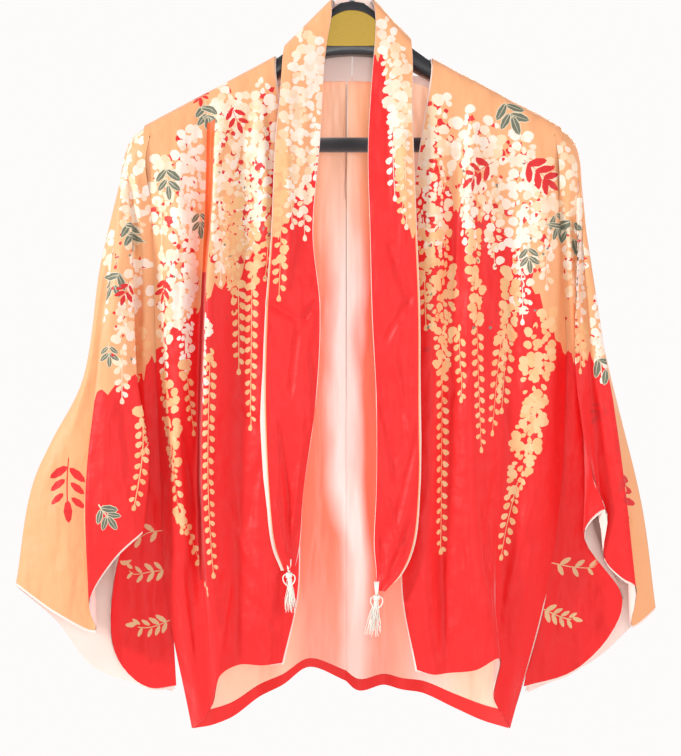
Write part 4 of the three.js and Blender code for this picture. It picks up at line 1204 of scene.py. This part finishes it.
def tube(path, radius, sides=6):
    """Points and faces of a round tube along a path; radius may be a list."""
    path = np.array(path, float)
    radii = np.broadcast_to(radius, len(path))
    tangent = unit(np.gradient(path, axis=0))
    across = np.cross(tangent[0], (0.3, 1, 0.1))
    rings = []
    for centre, run, reach in zip(path, tangent, radii):
        across = across - run * (across @ run)
        across /= np.linalg.norm(across)
        other = np.cross(run, across)
        angles = [2 * math.pi * k / sides for k in range(sides)]
        rings.append([centre + reach * (math.cos(t) * across + math.sin(t) * other)
                      for t in angles])
    return loft(rings)


def joined(name, parts, finish):
    """One mesh out of several lists of points and faces."""
    points, faces = [], []
    for part_points, part_faces in parts:
        faces.extend(tuple(i + len(points) for i in face) for face in part_faces)
        points.extend(part_points)
    mesh = bpy.data.meshes.new(name)
    mesh.from_pydata((np.array(points) * MM).tolist(), [], faces)
    mesh.polygons.foreach_set("use_smooth", np.ones(len(faces), bool))
    mesh.materials.append(finish.material)
    mesh.update()
    return link(bpy.data.objects.new(name, mesh))


THREADS = 44
THREAD_POINTS = 9
thread = Finish("white_silk_thread", Roughness=0.5, Sheen_Weight=0.4, Sheen_Roughness=0.4)
strand_tone = thread.noise(thread.place((1, 1, 0.3)), 600, 2)
thread.use("Base Color", thread.mix(strand_tone, colour(255, 252, 246), colour(236, 226, 210)))
thread.bump(thread.noise(thread.place((1, 1, 0.1)), 2500, 2), 0.2, 0.0003)

for side_name, (x, y, z), drop, spread in [
    ("left", (-62, -41, -638), 38, 6.0), ("right", (24, -41, -660), 40, 8.5),
]:
    random.seed(71 + len(side_name))
    lean = -3 if side_name == "right" else 1
    parts = []
    for k in range(3):
        swing = math.sin(k * 2.1) * 2
        parts.append(tube([(x + swing, y + 1, z + 12), (x + swing * 0.6, y - 0.5, z + 4),
                           (x, y, z - 3)], 0.9))
    for turn in range(3):
        ring = [(x + 2.4 * math.cos(t), y + 2.0 * math.sin(t),
                 z - 2 - turn * 1.5 + 0.6 * math.sin(t + turn))
                for t in np.linspace(0, 2 * math.pi, 13)]
        parts.append(tube(ring, 1.0))
    for loop in (-1, 1):
        path = [(x + loop * (1 + 5 * math.sin(t)), y - 1,
                 z - 3 - 5.5 * (1 - math.cos(t)) + 2 * math.sin(t))
                for t in np.linspace(0, math.pi, 10)]
        parts.append(tube(path, 0.6))
    for k in range(THREADS):
        angle = random.uniform(0, 2 * math.pi)
        reach = spread * math.sqrt(random.random())
        end_x = x + lean + reach * math.cos(angle) * random.uniform(0.8, 1.15)
        end_y = y + reach * 0.5 * math.sin(angle)
        length = drop * random.uniform(0.72, 1.0)
        curl = random.uniform(-1.6, 1.6)
        path = []
        for t in np.linspace(0, 1, THREAD_POINTS):
            ease = t ** 0.8
            path.append((x + (end_x - x) * ease + curl * math.sin(t * 7 + k),
                         y + (end_y - y) * ease + curl * 0.5 * math.cos(t * 6 + k), z - 3 - length * t))
        parts.append(tube(path, np.linspace(0.42, 0.26, THREAD_POINTS), 5))
    tassel = joined(f"thread_tassel_{side_name}", parts, thread)
    fit(tassel, f"tassel_{side_name}")


# ---- Hanger ----
# A contoured suit hanger moulded in black plastic, with a half-round gold-coloured plate let
# into the centre of its front, a flocked trouser bar on two posts, and a steel wire hook.
ARM_REACH = 215
DOME_HALF_WIDTH = 38
RING_POINTS = 28
BAR_Y, BAR_Z = -5, -215.5

black = Finish("black_plastic", Roughness=0.32, Specular_IOR_Level=0.5, Coat_Weight=0.15,
               Coat_Roughness=0.2)
black_grain = black.noise(black.place(), 260, 4)
black.use("Base Color", black.mix(black_grain, colour(22, 22, 26), colour(36, 36, 42)))
black.use("Roughness", 0.28 + black_grain * 0.16)
black.bump(black.noise(black.place(), 1400, 3), 0.1, 0.0003)

rings = []
stations = [np.linspace(-ARM_REACH, -40, 60), np.linspace(-DOME_HALF_WIDTH, DOME_HALF_WIDTH, 61),
            np.linspace(40, ARM_REACH, 60)]
for x in np.concatenate(stations):
    reach = abs(x)
    top, bottom, half, forward = hanger_at(reach)
    middle, rise = (top + bottom) / 2, (top - bottom) / 2
    power = 0.28 if reach <= 40 else 0.28 + 0.35 * min((reach - 40) / 20, 1)
    end = min(1.0, ((216.5 - reach) / 6) ** 0.5)
    ring = []
    for k in range(RING_POINTS):
        angle = 2 * math.pi * k / RING_POINTS
        c, s = math.cos(angle), math.sin(angle)
        y = math.copysign(abs(c) ** power, c) * (half - 0.3) * end - forward
        z = math.copysign(abs(s) ** power, s) * rise * end + middle
        ring.append((x, y, z))
    rings.append(ring)
hanger = joined("moulded_hanger", [loft(rings)], black)
fit(hanger, "hanger_body")

for side_name, x in [("left", -160), ("right", 160)]:
    rings = []
    for z, r in [(-199, 4.6), (-202, 4.2), (-205, 4), (-207.4, 4.2), (-207.6, 3.4)]:
        rings.append([(x + r * math.cos(t), BAR_Y - r * math.sin(t), z) for t in full_turn(24)])
    post = joined(f"bar_post_moulding_{side_name}", [loft(rings)], black)
    fit(post, f"bar_post_{side_name}")

flock = Finish("black_flock", Roughness=0.95, Sheen_Weight=0.6, Sheen_Roughness=0.6,
               Specular_IOR_Level=0.1)
fibre = flock.noise(flock.place(), 1500, 4)
flock.use("Base Color", flock.mix(fibre, colour(20, 20, 23), colour(52, 52, 58)))
flock.bump(fibre, 0.5, 0.0008)
rings = []
for x, r in [(-172, 5.5), (-171.5, 6.8), (-170, 7.4), *[(x, 7.5) for x in range(-168, 169, 8)],
             (170, 7.4), (171.5, 6.8), (172, 5.5)]:
    rings.append([(x, BAR_Y + r * math.cos(t), BAR_Z + r * math.sin(t)) for t in full_turn(28)])
bar = joined("flocked_bar", [loft(rings)], flock)
fit(bar, "trouser_bar")

gold = Finish("brushed_gold", Metallic=1.0, Roughness=0.35)
gold_streak = gold.noise(gold.place((1, 1, 14)), 160, 4)
gold.use("Base Color", gold.mix(gold_streak, colour(150, 122, 50), colour(184, 154, 78)))
gold.use("Roughness", 0.3 + gold_streak * 0.2)
gold.bump(gold_streak, 0.1, 0.0002)
PLATE_HALF_WIDTH, PLATE_HEIGHT, PLATE_BASE_Z = 34, 36, -118
rings = []
for y, inset in [(-11.4, 0.3), (-12.4, 0), (-12.9, 0.2), (-13.0, 0.7)]:
    outline = [((PLATE_HALF_WIDTH - inset) * math.cos(t), y,
                PLATE_BASE_Z + inset + (PLATE_HEIGHT - 2 * inset) * math.sin(t))
               for t in np.linspace(0, math.pi, 49)]
    rings.append(outline[::-1])
plate = joined("gold_plate", [loft(rings)], gold)
for polygon in plate.data.polygons:
    polygon.use_smooth = len(polygon.vertices) == 4
fit(plate, "hanger_plate")

steel = Finish("plated_steel", Metallic=1.0, Roughness=0.22)
steel_wear = steel.noise(steel.place(), 300, 4)
steel.use("Base Color", steel.mix(steel_wear, colour(168, 170, 174), colour(205, 206, 210)))
steel.use("Roughness", 0.18 + steel_wear * 0.14)
WIRE_RADIUS, CROOK_RADIUS, CROOK_Z = 2.5, 22.5, -20
crook = [(CROOK_RADIUS * math.cos(t), 0, CROOK_Z + CROOK_RADIUS * math.sin(t))
         for t in [math.radians(degrees) for degrees in np.arange(-35, 201, 6)]]
stem = along(np.array([(0, 0, -72), (0, 0, -61), (1, 0, -50), (8, 0, -42.5), crook[0]])[:, None, :],
             np.linspace(0, 4, 25))
hook_path = [*stem.tolist(), *crook[1:]]
taper = [WIRE_RADIUS] * (len(hook_path) - 2) + [2.2, 1.2]
hook = joined("wire_hook", [tube(hook_path, taper, 16)], steel)
fit(hook, "hook")

# ---- Floor ----
# A pale matt floor far below the hem; the jacket hangs clear of it.
paper = Finish("pale_floor", Roughness=0.9)
paper_tone = paper.noise(paper.place(), 6, 3)
paper.use("Base Color", paper.mix(paper_tone, colour(250, 247, 246), colour(244, 241, 240)))
FLOOR_RADIUS, FLOOR_Z, FLOOR_SIDES = 2.8, -1.9, 64
disc = [(FLOOR_RADIUS * math.cos(t), FLOOR_RADIUS * math.sin(t), FLOOR_Z)
        for t in full_turn(FLOOR_SIDES)]
slices = [(i, (i + 1) % FLOOR_SIDES, FLOOR_SIDES) for i in range(FLOOR_SIDES)]
floor_mesh = bpy.data.meshes.new("floor")
floor_mesh.from_pydata([*disc, (0, 0, FLOOR_Z)], [], slices)
floor_mesh.materials.append(paper.material)
link(bpy.data.objects.new("floor", floor_mesh))
